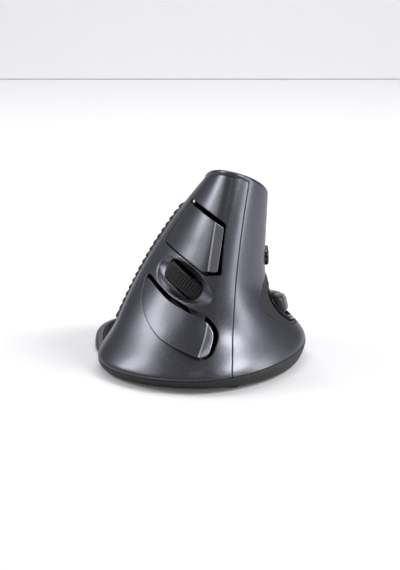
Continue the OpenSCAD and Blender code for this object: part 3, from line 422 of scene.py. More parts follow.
@dataclass
class Sheet:
    """A triangle mesh in a surface's parameter plane, which can be cut along level lines of a distance."""

    uv: Array
    faces: Array
    surface: Surface

    @classmethod
    def grid(cls, v: Array, t: Array, surface: Surface) -> "Sheet":
        """Makes a regular sheet.

        Args:
            v: Row values.
            t: Column values.
            surface: Surface that the parameters belong to.

        Returns:
            The sheet, two triangles a cell.
        """
        vv, tt = np.meshgrid(v, t, indexing="ij")
        i = np.arange(len(v) - 1)[:, None] * len(t) + np.arange(len(t) - 1)[None, :]
        a, b = i.ravel(), i.ravel() + 1
        c, d = b + len(t), a + len(t)
        faces = np.concatenate([np.column_stack([a, b, c]), np.column_stack([a, c, d])])
        return cls(np.column_stack([vv.ravel(), tt.ravel()]), faces, surface)

    def split(self, distance: Callable[[Array], Array], level: float) -> Array:
        """Splits the triangles along one level line and returns the distance at every vertex.

        Args:
            distance: Gives a distance for points of the surface.
            level: Distance of the line.

        Returns:
            Distances at all vertices, new ones included.
        """
        d = distance(self.surface.points(self.uv))
        f = d - level
        f[np.abs(f) < 0.012] = 0.0
        inside = f >= 0
        count = inside[self.faces].sum(1)
        mixed = (count == 1) | (count == 2)
        tri, kept = self.faces[mixed], self.faces[~mixed]
        if not len(tri):
            return d
        lone_in = count[mixed] == 1
        lone = np.argmax(inside[tri] == lone_in[:, None], 1)
        rows = np.arange(len(tri))
        x, y, z = (tri[rows, (lone + k) % 3] for k in range(3))
        pairs = np.sort(np.concatenate([np.column_stack([x, y]), np.column_stack([x, z])]), 1)
        unique, which = np.unique(pairs, axis=0, return_inverse=True)
        which = which.ravel()
        fa, fb = f[unique[:, 0]], f[unique[:, 1]]
        s = (fa / (fa - fb))[:, None]
        base = len(self.uv)
        self.uv = np.concatenate([self.uv, self.uv[unique[:, 0]] * (1 - s) + self.uv[unique[:, 1]] * s])
        a, b = base + which[: len(tri)], base + which[len(tri):]
        self.faces = np.concatenate([
            kept, np.column_stack([x, a, b]), np.column_stack([a, y, z]), np.column_stack([a, z, b])])
        d = np.concatenate([d, np.full(len(unique), level)])
        self.faces = self.faces[self._areas() > 1e-9]
        return d

    def _areas(self) -> Array:
        """Gives each triangle's area in the (v, t) plane, never negative."""
        p = self.uv[self.faces]
        a, b = p[:, 1] - p[:, 0], p[:, 2] - p[:, 0]
        return np.abs(a[:, 0] * b[:, 1] - a[:, 1] * b[:, 0])

    def keep(self, distance: Callable[[Array], Array], radius: float) -> Array:
        """Keeps what lies inside the zero line, with extra rows where the edge is rounded.

        Args:
            distance: Gives the distance inside the edge for points of the surface.
            radius: Radius of the rounded edge.

        Returns:
            Distance inside the edge at every vertex left.
        """
        for share in (1.0, 0.62, 0.3, 0.1):
            self.split(distance, radius * share)
        d = self.split(distance, 0.0)
        middle = d[self.faces]
        self.faces = self.faces[(middle.min(1) > -0.02) & (middle.max(1) > 0.0)]
        used, inverse = np.unique(self.faces, return_inverse=True)
        self.uv, self.faces = self.uv[used], inverse.reshape(-1, 3)
        d = d[used]
        return self._merge(np.maximum(d, 0.0))

    def _merge(self, d: Array) -> Array:
        """Joins vertices that fall on one point, so that the sheet closes round the body."""
        keys = np.round(self.surface.points(self.uv) * 2e3).astype(np.int64)
        _, first, inverse = np.unique(keys, axis=0, return_index=True, return_inverse=True)
        self.faces = inverse.ravel()[self.faces]
        self.uv = self.uv[first]
        f = self.faces
        self.faces = f[(f[:, 0] != f[:, 1]) & (f[:, 1] != f[:, 2]) & (f[:, 2] != f[:, 0])]
        return d[first]


def fillet(d: Array, radius: float) -> Array:
    """Gives the drop of a rounded edge at distance d inside it: r - sqrt(r^2 - (r - d)^2)."""
    gap = np.clip(radius - d, 0, radius)
    return radius - np.sqrt(np.maximum(radius**2 - gap**2, 0))


def make_object(name: str, points: Array, faces: Iterable[Array], sharp: float = 50.0) -> bpy.types.Object:
    """Puts arrays into a smooth-shaded mesh object at the origin.

    Args:
        name: Piece name.
        points: Vertices in mm.
        faces: Arrays of triangles or quads.
        sharp: Edges bent more than this many degrees stay sharp.

    Returns:
        The new object.
    """
    mesh = bpy.data.meshes.new(name)
    sizes = [f.shape for f in faces]
    loops = np.concatenate([f.ravel() for f in faces]).astype(np.int32)
    per_face = np.concatenate([np.full(n, k) for n, k in sizes]).astype(np.int32)
    mesh.vertices.add(len(points))
    mesh.vertices.foreach_set("co", (np.asarray(points) * MM).astype(np.float32).ravel())
    mesh.loops.add(len(loops))
    mesh.loops.foreach_set("vertex_index", loops)
    mesh.polygons.add(len(per_face))
    mesh.polygons.foreach_set("loop_start", np.concatenate([[0], np.cumsum(per_face)[:-1]]).astype(np.int32))
    mesh.polygons.foreach_set("use_smooth", np.ones(len(per_face), bool))
    mesh.update(calc_edges=True)
    mesh.validate()
    mesh.set_sharp_from_angle(angle=math.radians(sharp))
    obj = bpy.data.objects.new(name, mesh)
    bpy.context.scene.collection.objects.link(obj)
    return obj


def boundary(faces: Array) -> Array:
    """Lists the directed edges that belong to one triangle only."""
    edges = np.concatenate([faces[:, [0, 1]], faces[:, [1, 2]], faces[:, [2, 0]]])
    _, which, count = np.unique(np.sort(edges, 1), axis=0, return_inverse=True, return_counts=True)
    return edges[count[which.ravel()] == 1]


@dataclass
class Panel:
    """A piece of a skin: kept by a distance, with rounded edges, relief and a wall."""

    name: str
    distance: Callable[[Array], Array]
    rows: Array
    columns: Array
    edge: float = 0.3
    wall: float = 2.0
    shift: Optional[Callable[[Array, Array], Array]] = None
    relief: Optional[Callable[[Array, Array], Array]] = None
    surface: Surface = field(default_factory=lambda: BODY)
    flat_back: Optional[float] = None

    def build(self) -> bpy.types.Object:
        """Cuts the sheet, lifts it on to the surface and closes it with an inner skin and edge walls."""
        sheet = Sheet.grid(self.rows, self.columns, self.surface)
        d = sheet.keep(self.distance, self.edge)
        base, normal = self.surface.points(sheet.uv), self.surface.normals(sheet.uv)
        if self.shift is not None:
            base = base + self.shift(base, normal)
        drop = fillet(d, self.edge)[:, None]
        outer = base - drop * normal
        if self.relief is not None:
            outer = outer + self.relief(base, d)[:, None] * normal
        inner = base - self.wall * normal
        if self.flat_back is not None:
            inner[:, 2] = self.flat_back
            outer[:, 2] = np.maximum(outer[:, 2], self.flat_back + 0.05)
        n = len(base)
        e = boundary(sheet.faces)
        rim = np.column_stack([e[:, 1], e[:, 0], e[:, 0] + n, e[:, 1] + n])
        faces = [sheet.faces, sheet.faces[:, ::-1] + n, rim]
        return make_object(self.name, np.concatenate([outer, inner]), faces)


def spans(*parts: tuple[float, float, int]) -> Array:
    """Joins runs of evenly spaced values, each given as start, end and count."""
    return np.unique(np.concatenate([np.linspace(*p) for p in parts]))


def revolve(profile: Array, relief: Callable[[Array, Array], Array], steps: int) -> tuple[Array, Array]:
    """Turns a closed profile about the Z axis.

    Args:
        profile: Points (radius, height) of a closed loop, counter-clockwise.
        relief: Gives what is added to each point's radius, from its angle and profile number.
        steps: Number of angular steps.

    Returns:
        Points and quads.
    """
    k = len(profile)
    angle = np.linspace(0, 2 * math.pi, steps, endpoint=False)
    a, i = np.meshgrid(angle, np.arange(k), indexing="ij")
    r, h = profile[i, 0] + relief(a, i), profile[i, 1]
    points = np.stack([r * np.cos(a), r * np.sin(a), h], -1).reshape(-1, 3)
    row, col = np.meshgrid(np.arange(steps), np.arange(k), indexing="ij")
    nr, nc = (row + 1) % steps, (col + 1) % k
    quads = np.stack([row * k + col, nr * k + col, nr * k + nc, row * k + nc], -1).reshape(-1, 4)
    return points, quads


def loft(rings: Array) -> tuple[Array, list[Array]]:
    """Joins closed rings into a skin, with a fan on the first and last ring.

    Args:
        rings: Points, shape (rings, points, 3).

    Returns:
        Points and face arrays.
    """
    n, k, _ = rings.shape
    row, col = np.meshgrid(np.arange(n - 1), np.arange(k), indexing="ij")
    nc = (col + 1) % k
    quads = np.stack([row * k + col, row * k + nc, (row + 1) * k + nc, (row + 1) * k + col], -1).reshape(-1, 4)
    j, nj, last = np.arange(k), (np.arange(k) + 1) % k, (n - 1) * k
    points = np.concatenate([rings.reshape(-1, 3), rings[0].mean(0)[None], rings[-1].mean(0)[None]])
    return points, [quads, np.column_stack([nj, j, np.full(k, n * k)]),
                    np.column_stack([last + j, last + nj, np.full(k, n * k + 1)])]


Socketish = Union["Value", float, int]


class Value:
    """A shader value: wraps a socket, and arithmetic on it adds Math nodes."""

    def __init__(self, tree: "ShaderTree", socket: bpy.types.NodeSocket) -> None:
        """Keeps the tree and the socket."""
        self.tree, self.socket = tree, socket

    def _math(self, operation: str, a: Socketish, b: Socketish) -> "Value":
        """Adds one Math node."""
        return self.tree.node("ShaderNodeMath", {"operation": operation}, {0: a, 1: b})[0]

    def __add__(self, other: Socketish) -> "Value":
        """Adds."""
        return self._math("ADD", self, other)

    def __sub__(self, other: Socketish) -> "Value":
        """Subtracts."""
        return self._math("SUBTRACT", self, other)

    def __rsub__(self, other: Socketish) -> "Value":
        """Subtracts, reflected."""
        return self._math("SUBTRACT", other, self)

    def __mul__(self, other: Socketish) -> "Value":
        """Multiplies."""
        return self._math("MULTIPLY", self, other)

    __radd__, __rmul__ = __add__, __mul__

    def power(self, other: Socketish) -> "Value":
        """Raises to a power."""
        return self._math("POWER", self, other)

    def above(self, other: Socketish) -> "Value":
        """Gives 1 where the value is above the other."""
        return self._math("GREATER_THAN", self, other)


class ShaderTree:
    """Builds one material's nodes."""

    def __init__(self, name: str) -> None:
        """Makes an empty material with a Principled shader."""
        self.material = bpy.data.materials.new(name)
        self.material.use_nodes = True
        self.nodes, self.links = self.material.node_tree.nodes, self.material.node_tree.links
        self.shader = next(n for n in self.nodes if n.type == "BSDF_PRINCIPLED")

    def node(self, kind: str, settings: dict, inputs: dict) -> list[Value]:
        """Adds a node.

        Args:
            kind: Node type.
            settings: Attributes set first.
            inputs: Socket name or number to a value, a number, or a tuple.

        Returns:
            The node's output sockets as values.
        """
        n = self.nodes.new(kind)
        for key, value in settings.items():
            setattr(n, key, value)
        for key, value in inputs.items():
            if isinstance(value, Value):
                self.links.new(value.socket, n.inputs[key])
            else:
                n.inputs[key].default_value = value
        return [Value(self, s) for s in n.outputs]

    def place(self, scale: Triple = (1, 1, 1)) -> Value:
        """Gives Object coordinates, scaled."""
        at = self.node("ShaderNodeTexCoord", {}, {})[3]
        return self.node("ShaderNodeMapping", {}, {"Vector": at, "Scale": scale})[0]

    def along_y(self, at: Value) -> Value:
        """Gives the Y coordinate."""
        return self.node("ShaderNodeSeparateXYZ", {}, {"Vector": at})[1]

    def noise(self, at: Value, scale: float, detail: float = 2.0, rough: float = 0.5) -> Value:
        """Gives a noise value around 0.5."""
        return self.node("ShaderNodeTexNoise", {}, {
            "Vector": at, "Scale": scale, "Detail": detail, "Roughness": rough})[0]

    def cells(self, at: Value, scale: float) -> Value:
        """Gives one random value per small cell."""
        colour = self.node("ShaderNodeTexVoronoi", {}, {"Vector": at, "Scale": scale})[1]
        return self.node("ShaderNodeSeparateColor", {}, {"Color": colour})[0]

    def tint(self, factor: Value, dark: Union[Value, Sequence[float]], light: Sequence[float]) -> Value:
        """Blends two colours by a value."""
        return self.node("ShaderNodeMix", {"data_type": "RGBA"}, {
            0: factor, 6: dark if isinstance(dark, Value) else (*dark, 1.0), 7: (*light, 1.0)})[2]

    def bump(self, height: Value, distance: float) -> Value:
        """Gives a normal from a height."""
        return self.node("ShaderNodeBump", {}, {"Strength": 1.0, "Distance": distance, "Height": height})[0]

    def set(self, **inputs: Union[Value, float, tuple]) -> None:
        """Feeds the Principled shader; underscores in names stand for spaces."""
        for key, value in inputs.items():
            socket = self.shader.inputs[key.replace("_", " ")]
            if isinstance(value, Value):
                self.links.new(value.socket, socket)
            else:
                socket.default_value = value


class Finish(Protocol):
    """A named finish that can build its material."""

    name: str

    def material(self) -> bpy.types.Material:
        """Builds the material."""


@dataclass(frozen=True)
class MetallicPaint:
    """Gun-metal paint with fine flakes under a thin clear coat; a plane may mark off a bevel painted lighter, partly
    polish and partly painted sheen, with a painted highlight line on its crest (metres).
    """

    name: str
    dark: Triple = (0.078, 0.079, 0.093)
    light: Triple = (0.145, 0.147, 0.171)
    rough: float = 0.31
    metallic: float = 0.86
    bevel: Optional[tuple[float, float, float, float]] = None
    # Lighter colour of the bevel: partly a polished finish, partly painted sheen for the light the flank catches.
    bevel_and_sheen_colour: Triple = (0.19, 0.192, 0.222)
    # Colour of a thin painted highlight line along the crest, standing in for the light its rounded edge would catch;
    # crest_line is that line's width (metres).
    crest_highlight_colour: Triple = (0.62, 0.62, 0.68)
    crest_line: float = 0.0004

    def material(self) -> bpy.types.Material:
        """Builds the material: flakes vary colour and roughness, with faint orange peel; a bevel is painted lighter,
        partly polish and partly painted sheen, and its crest gets a painted highlight line.
        """
        t = ShaderTree(self.name)
        at = t.place()
        flake = t.cells(at, 5200.0)
        drift = t.noise(at, 45.0, 3.0)
        peel = t.noise(at, 700.0, 2.0)
        share = 0.35 * drift + 0.65 * flake.power(3.0)
        colour = t.tint(share, self.dark, self.light)
        if self.bevel is not None:
            *normal, start = self.bevel
            across = t.node("ShaderNodeVectorMath", {"operation": "DOT_PRODUCT"}, {0: at, 1: normal})[1] - start
            # A thin line at the crest is painted near-white as a painted highlight; past the plane the bevel is painted
            # lighter, partly polish and partly painted sheen.
            line = across.above(-self.crest_line / 2) - across.above(self.crest_line / 2)
            colour = t.tint(line, t.tint(across.above(0.0), colour, self.bevel_and_sheen_colour), self.crest_highlight_colour)
        t.set(Base_Color=colour,
              Roughness=self.rough - 0.05 + 0.06 * drift + 0.05 * flake, Metallic=self.metallic,
              Specular_Tint=(0.5, 0.5, 0.53, 1.0), Coat_Weight=0.14, Coat_Roughness=0.18,
              Normal=t.bump(peel + 0.5 * flake, 0.000012))
        return t.material


@dataclass(frozen=True)
class MattRubber:
    """Soft-touch rubber with a fine grain, lighter on the grain's high spots."""

    name: str
    colour: Triple = (0.012, 0.012, 0.013)
    rough: float = 0.62
    grain: float = 2600.0

    def material(self) -> bpy.types.Material:
        """Builds the material: grain as bump and as lighter colour on its high spots; colour and roughness drift."""
        t = ShaderTree(self.name)
        at = t.place()
        grain = t.noise(at, self.grain, 3.0, 0.6)
        drift = t.noise(at, 80.0, 3.0)
        light = tuple(c * 1.7 + 0.006 for c in self.colour)
        # Colour drifts at random and is lighter where the grain stands high.
        t.set(Base_Color=t.tint(0.6 * drift + 0.4 * grain, self.colour, light),
              Roughness=self.rough - 0.08 + 0.2 * drift, Normal=t.bump(grain, 0.00005),
              Specular_IOR_Level=0.35)
        return t.material


@dataclass(frozen=True)
class MouldedPlastic:
    """Moulded plastic with a spark-eroded texture, satin or plain."""

    name: str
    colour: Triple
    rough: float = 0.42
    texture: float = 1500.0
    depth: float = 0.00003
    shine: float = 0.5

    def material(self) -> bpy.types.Material:
        """Builds the material: a pebbled bump, with slow drift of colour and gloss."""
        t = ShaderTree(self.name)
        at = t.place()
        pebble = t.noise(at, self.texture, 2.0, 0.55)
        drift = t.noise(at, 60.0, 3.0)
        light = tuple(min(c * 1.35 + 0.003, 1.0) for c in self.colour)
        t.set(Base_Color=t.tint(0.7 * drift + 0.3 * pebble, self.colour, light),
              Roughness=self.rough - 0.06 + 0.14 * drift, Normal=t.bump(pebble, self.depth),
              Specular_IOR_Level=self.shine)
        return t.material


@dataclass(frozen=True)
class GlossPlastic:
    """Polished plastic under a clear coat, with the faintest smears."""

    name: str
    colour: Triple = (0.004, 0.004, 0.005)
    rough: float = 0.06
    coat: float = 0.6
    shine: float = 0.5
    dull_past: Optional[float] = None

    def material(self) -> bpy.types.Material:
        """Builds the material: low roughness that drifts a little, and is dull past a place along Y."""
        t = ShaderTree(self.name)
        at = t.place()
        smear = t.noise(at, 160.0, 4.0, 0.6)
        light = tuple(c * 1.6 + 0.001 for c in self.colour)
        rough = self.rough + 0.08 * smear
        if self.dull_past is not None:
            rough = rough + 0.4 * t.along_y(at).above(self.dull_past)
        t.set(Base_Color=t.tint(smear, self.colour, light), Roughness=rough,
              Coat_Weight=self.coat, Coat_Roughness=0.04, Specular_IOR_Level=self.shine)
        return t.material


@dataclass(frozen=True)
class BrushedMetal:
    """Drawn or plated metal with fine lines along one direction."""

    name: str
    colour: Triple
    rough: float = 0.28
    lines: Triple = (3000.0, 120.0, 3000.0)

    def material(self) -> bpy.types.Material:
        """Builds the material: stretched noise varies roughness and bump."""
        t = ShaderTree(self.name)
        line = t.noise(t.place(self.lines), 1.0, 3.0)
        dark = tuple(c * 0.8 for c in self.colour)
        t.set(Base_Color=t.tint(line, dark, self.colour), Metallic=1.0, Roughness=self.rough - 0.08 + 0.16 * line,
              Normal=t.bump(line, 0.00001))
        return t.material


@dataclass(frozen=True)
class CircuitBoard:
    """Solder mask over copper, which shows through as faint patches."""

    name: str
    mask: Triple = (0.006, 0.007, 0.008)
    copper: Triple = (0.016, 0.018, 0.020)

    def material(self) -> bpy.types.Material:
        """Builds the material: some random cells stand for copper under the mask."""
        t = ShaderTree(self.name)
        at = t.place()
        cells = t.cells(at, 420.0)
        trace = cells.above(0.62)
        fine = t.noise(at, 1200.0, 2.0)
        t.set(Base_Color=t.tint(trace, self.mask, self.copper), Roughness=0.32 + 0.12 * fine,
              Normal=t.bump(trace + 0.2 * fine, 0.00002))
        return t.material


@dataclass(frozen=True)
class ClearPlastic:
    """Clear moulded plastic, tinted."""

    name: str
    colour: Triple
    through: float = 0.85

    def material(self) -> bpy.types.Material:
        """Builds the material: transmission with slightly uneven gloss."""
        t = ShaderTree(self.name)
        drift = t.noise(t.place(), 300.0, 2.0)
        t.set(Base_Color=(*self.colour, 1.0), Roughness=0.04 + 0.08 * drift, Transmission_Weight=self.through, IOR=1.49)
        return t.material


@dataclass(frozen=True)
class PrintedSleeve:
    """Plain coloured sleeve of a dry cell with a lighter band."""

    name: str
    colour: Triple = (0.03, 0.05, 0.035)
    band: Triple = (0.45, 0.36, 0.16)
    band_from: float = 0.022

    def material(self) -> bpy.types.Material:
        """Builds the material: a band across the cell's length, satin."""
        t = ShaderTree(self.name)
        at = t.place()
        drift = t.noise(at, 120.0, 2.0)
        t.set(Base_Color=t.tint(t.along_y(at).above(self.band_from), self.colour, self.band),
              Roughness=0.25 + 0.1 * drift, Metallic=0.6)
        return t.material


PAINT = MetallicPaint("gun_metal_paint")
BASE_BLACK = MouldedPlastic("base_black", (0.009, 0.009, 0.0105), rough=0.42, shine=0.3)
GRIP_RUBBER = MattRubber("grip_rubber")
TYRE_RUBBER = MattRubber("tyre_rubber", (0.010, 0.010, 0.011), rough=0.46)
PAD_RUBBER = MattRubber("pad_rubber", (0.008, 0.008, 0.009), rough=0.62)
GLOSS_BLACK = GlossPlastic("gloss_black")
BEZEL_BLACK = GlossPlastic("bezel_black", rough=0.12, coat=0.0, shine=0.14, dull_past=-0.002)
KEY_GREY = MouldedPlastic("thumb_key_grey", (0.016, 0.016, 0.018), rough=0.38, shine=0.35)
PALM_PLASTIC = MouldedPlastic("palm_plastic", (0.006, 0.006, 0.0062), rough=0.5, shine=0.18)
GLIDE = MouldedPlastic("glide_foot", (0.016, 0.016, 0.018), rough=0.34, shine=0.35)
INNER_PLASTIC = MouldedPlastic("inner_plastic", (0.003, 0.003, 0.0035), rough=0.65, shine=0.12)
SLIDER_WHITE = MouldedPlastic("slider_white", (0.62, 0.62, 0.6), rough=0.4)
STEEL = BrushedMetal("plain_steel", (0.55, 0.55, 0.57))
NICKEL = BrushedMetal("nickel", (0.62, 0.58, 0.48), rough=0.24)
BOARD = CircuitBoard("solder_mask")
CHIP = MouldedPlastic("chip_resin", (0.006, 0.006, 0.007), rough=0.55)
LENS = ClearPlastic("lens_clear", (0.92, 0.95, 0.97))
LAMP = ClearPlastic("lamp_red", (0.75, 0.06, 0.05), through=0.7)
FLEX = MouldedPlastic("flat_flex", (0.55, 0.53, 0.48), rough=0.45)
SLEEVE = PrintedSleeve("cell_sleeve")


class Ride(Enum):
    """Bodies of the frame that new pieces ride on."""

    HOUSING = "housing"
    LEFT_KEY = "left_key"
    RIGHT_KEY = "right_key"
    WHEEL = "wheel"
    FORWARD_KEY = "forward_key"
    BACK_KEY = "back_key"
    DPI_KEY = "dpi_key"
    PALM = "palm_support"


class Slot(Enum):
    """Material slots of the record."""

    PAINT = "housing_paint"
    KEY_PAINT = "key_paint"
    BASE = "base_black"
    RUBBER = "rubber_black"
    PAD = "rubber_grey"
    GLOSS = "gloss_black"
    KEY_GREY = "key_grey"
    PALM = "palm_plastic"


def dress(obj: bpy.types.Object, finish: Finish) -> None:
    """Gives an object one finish in all its material slots."""
    material = bpy.data.materials.get(finish.name) or finish.material()
    if not obj.data.materials:
        obj.data.materials.append(material)
    for i in range(len(obj.data.materials)):
        obj.data.materials[i] = material


def seat(obj: bpy.types.Object, ride: Ride, slot: Slot, finish: Finish, *nodes: str) -> None:
    """Rides a new piece on its body, dresses it and hides the nodes it stands for."""
    dress(obj, finish)
    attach(obj, ride.value)
    if nodes:
        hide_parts(*nodes)
    LOG.info("piece %s: %d faces on %s", obj.name, len(obj.data.polygons), ride.value)


@dataclass
class Housing:
    """The two painted panels and the smooth skirt of the base."""

    dish_at: Pair = (-0.2, -0.7)
    dish_half: Triple = (14.2, 5.7, 2.4)
    dish_lip: float = 0.3
    dish_turn: float = 5.0
    crease: float = 0.09
    edge: float = 0.2
    finger_wall: float = 0.9

    def finger_distance(self, p: Array) -> Array:
        """Distance inside the finger panel: clear of seam, joint, keys, slot and grip."""
        g = LAYOUT.panel_gap
        return np.minimum.reduce([
            -LAYOUT.seam(p) - g, LAYOUT.joint(p) - g, LAYOUT.on_face(p, LAYOUT.upper, depth=10.0),
            LAYOUT.on_face(p, LAYOUT.lower), LAYOUT.slot(p), LAYOUT.on_finger_side(p, LAYOUT.grip) - g])

    def thumb_distance(self, p: Array) -> Array:
        """Distance inside the thumb panel: past the seam, clear of pad, bezel and resolution key."""
        g = LAYOUT.panel_gap
        pad = LAYOUT.on_thumb_side(p, lambda yz: outline_distance(yz, LAYOUT.thumb_pad))
        return np.minimum.reduce([
            LAYOUT.seam(p), LAYOUT.joint(p) - g, pad - g, LAYOUT.on_thumb_side(p, LAYOUT.bezel) - g,
            LAYOUT.on_thumb_side(p, LAYOUT.dpi) - LAYOUT.key_play])

    def dish(self, base: Array, normal: Array) -> Array:
        """Sinks an oval dish round the wheel: below the skin by c * sqrt(1 - e^2) less a lip.

        Here e is the distance from the middle in half-axes, and the crease where the bowl meets the skin is
        softened by s * log(1 + exp(x / s)).
        """
        local = FACE.local(base)
        c = local[:, :2] - np.array(self.dish_at)
        a, b, depth = self.dish_half
        turn = math.radians(self.dish_turn)
        x = math.cos(turn) * c[:, 0] + math.sin(turn) * c[:, 1]
        y = math.cos(turn) * c[:, 1] - math.sin(turn) * c[:, 0]
        e2 = (x / a) ** 2 + (y / b) ** 2
        over = depth * np.sqrt(ramp(1 - e2)) - self.dish_lip
        sunk = self.crease * np.logaddexp(0.0, over / self.crease)
        return np.where((e2 < 1.25) & (local[:, 2] > -8), -sunk, 0.0)[:, None] * normal

    def build(self) -> None:
        """Makes the panels and the skirt."""
        rows = spans((0.012, 0.1, 20), (0.1, 0.72, 96), (0.72, 1, 30), (1, 2, 10), (2, 3, 12))
        t = spans((0, 0.4, 34), (0.4, 3.0, 110), (3.0, 4.0, 150))
        finger = Panel("finger_panel", self.finger_distance, rows, t, edge=self.edge, wall=self.finger_wall,
                       shift=self.dish)
        seat(finger.build(), Ride.HOUSING, Slot.PAINT, PAINT, "finger_shell")
        thumb = Panel("thumb_panel", self.thumb_distance, rows, t, edge=self.edge, wall=LAYOUT.wall)
        seat(thumb.build(), Ride.HOUSING, Slot.PAINT, PAINT, "thumb_shell")
        skirt = Panel("base_skirt", lambda p: np.minimum(-LAYOUT.joint(p), p[:, 2] - BODY.foot + 0.001),
                      spans((0.0, 0.03, 12), (0.03, 0.11, 18)), t, edge=0.3, wall=0.5,
                      shift=lambda base, normal: 0.05 * normal)
        seat(skirt.build(), Ride.HOUSING, Slot.BASE, BASE_BLACK)


@dataclass
class FingerKey:
    """One finger key: a plate lifted about its hinge, with a flank that falls off past a crest line (mm, degrees)."""

    name: str
    outline: Array
    hinge: float
    lift: float
    crest: tuple[Pair, Pair]
    slide: Pair
    rows: tuple[float, float, int]
    columns: tuple[float, float, int]
    ride: Ride
    node: str
    plate: float = 2.0
    gap: float = 0.22
    draw_in: Pair = (0.0, 0.0)
    open_by: float = 1.3
    flank: float = 51.0
    soft: float = 0.09

    def distance(self, p: Array) -> Array:
        """Distance inside the key: the opening less its gap, wider along one edge, with the free end drawn in."""
        slid = tuple(s * self.open_by * LAYOUT.key_gap_top for s in self.slide)
        shifts = ((0.0, 0.0), slid, self.draw_in)
        return np.minimum.reduce([-LAYOUT.on_face(p, self.outline, s) for s in shifts]) - self.gap

    def crest_line(self) -> tuple[Array, Array, Array]:
        """Gives the crest's ends, the step between them and the unit direction across it to the flank."""
        ends = np.array(self.crest)
        step = ends[1] - ends[0]
        return ends, step, np.array([-step[1], step[0]]) / np.linalg.norm(step)

    def raise_by(self, base: Array, normal: Array) -> Array:
        """Lifts the plate along the face's normal: the lower of the lifted skin and the flank's plane.

        The plane falls by tan(flank) per mm beyond the crest; the two are joined by a softened minimum.
        """
        c = FACE.local(base)
        rise = (c[:, 0] - self.hinge) * math.sin(math.radians(self.lift))
        ends, step, out = self.crest_line()
        near = ((c[None, :, :2] - ends[:, None]) ** 2).sum(-1).argmin(1)
        top = c[near, 2] + rise[near]
        rel = c[:, :2] - ends[0]
        along = rel @ step / np.linalg.norm(step) ** 2
        plane = top[0] + (top[1] - top[0]) * along - math.tan(math.radians(self.flank)) * (rel @ out)
        over = c[:, 2] + rise - plane
        return (rise - self.soft * np.logaddexp(0.0, over / self.soft))[:, None] * FACE.axes[2]

    def paint(self) -> MetallicPaint:
        """Gives the key's paint, whose lighter bevel, partly polish and partly painted sheen, starts at the upright
        plane through the crest, where a painted highlight line runs.
        """
        ends, _, out = self.crest_line()
        normal = out @ FACE.axes[:2]
        start = FACE.world(np.array([*ends[0], 0.0])) @ normal
        return MetallicPaint(f"{self.name}_paint", rough=0.30, bevel=(*map(float, normal), float(start) * MM))

    def build(self) -> None:
        """Makes the key."""
        panel = Panel(self.name, self.distance, np.linspace(*self.rows), np.linspace(*self.columns), edge=0.16,
                      wall=self.plate, shift=self.raise_by)
        seat(panel.build(), self.ride, Slot.KEY_PAINT, self.paint(), self.node)


@dataclass
class FingerGrip:
    """Rubber panel with level ribs on the finger side."""

    ribs: int = 18
    low: float = 14.2
    high: float = 50.5
    half: float = 0.74
    height: float = 0.9

    def relief(self, base: Array, d: Array) -> Array:
        """Raises level ribs, half an ellipse across, that fade out at the panel's edge."""
        pitch = (self.high - self.low) / (self.ribs - 1)
        number = np.clip(np.round((base[:, 2] - self.low) / pitch), 0, self.ribs - 1)
        u = (base[:, 2] - self.low - number * pitch) / self.half
        return self.height * np.sqrt(ramp(1 - u * u)) * smooth((d - 0.4) / 0.6)

    def build(self) -> None:
        """Makes the grip."""
        panel = Panel("finger_grip_rubber", lambda p: -LAYOUT.on_finger_side(p, LAYOUT.grip),
                      np.linspace(0.13, 0.86, 230), np.linspace(2.0, 3.3, 90), edge=0.3, relief=self.relief)
        seat(panel.build(), Ride.HOUSING, Slot.RUBBER, GRIP_RUBBER, "finger_grip")


@dataclass
class ScrollWheel:
    """Ribbed tyre on its axle across the fingers."""

    diameter: float = 24.0
    width: float = 5.4
    out: float = 2.6
    ribs: int = 72
    groove: float = 0.5
    bore: float = 2.6

    def profile(self) -> tuple[Array, Array]:
        """Cross-section: crowned tread with round shoulders; and the share of tread at each point."""
        r, w = self.diameter / 2, self.width / 2
        s = np.linspace(-1, 1, 13)
        tread = np.column_stack([r - 0.3 * s**2, s * (w - 0.9)])
        a = np.linspace(0, math.pi / 2, 7)[1:]
        upper = np.column_stack([r - 0.3 - 0.9 * (1 - np.cos(a)), w - 0.9 + 0.9 * np.sin(a)])
        lower = upper[::-1] * np.array([1, -1])
        inner = np.array([[r - self.bore, w], [r - self.bore, -w]])
        points = np.concatenate([lower, tread, upper, inner])
        share = np.concatenate([np.linspace(0, 0.8, 6), np.ones(13), np.linspace(0.8, 0, 6), np.zeros(2)])
        return points, share

    def build(self) -> None:
        """Makes the tyre: grooves between ribs with soft walls, cut across the tread."""
        profile, share = self.profile()

        def ribbed(angle: Array, index: Array) -> Array:
            """Radius change of a rib pattern: a flattened cosine of the angle."""
            wave = np.cos(angle * self.ribs)
            return -self.groove * share[index] * (0.5 - 0.5 * np.tanh(wave * 2.2 + 0.3))

        points, quads = revolve(profile, ribbed, self.ribs * 10)
        axle = np.stack([FACE.axes[0], FACE.axes[2], -FACE.axes[1]])
        centre = FACE.world(np.array([*LAYOUT.wheel_at, self.out - self.diameter / 2]))
        tyre = make_object("tyre", centre + points @ axle, [quads], sharp=60)
        seat(tyre, Ride.WHEEL, Slot.RUBBER, TYRE_RUBBER, "wheel_tyre")


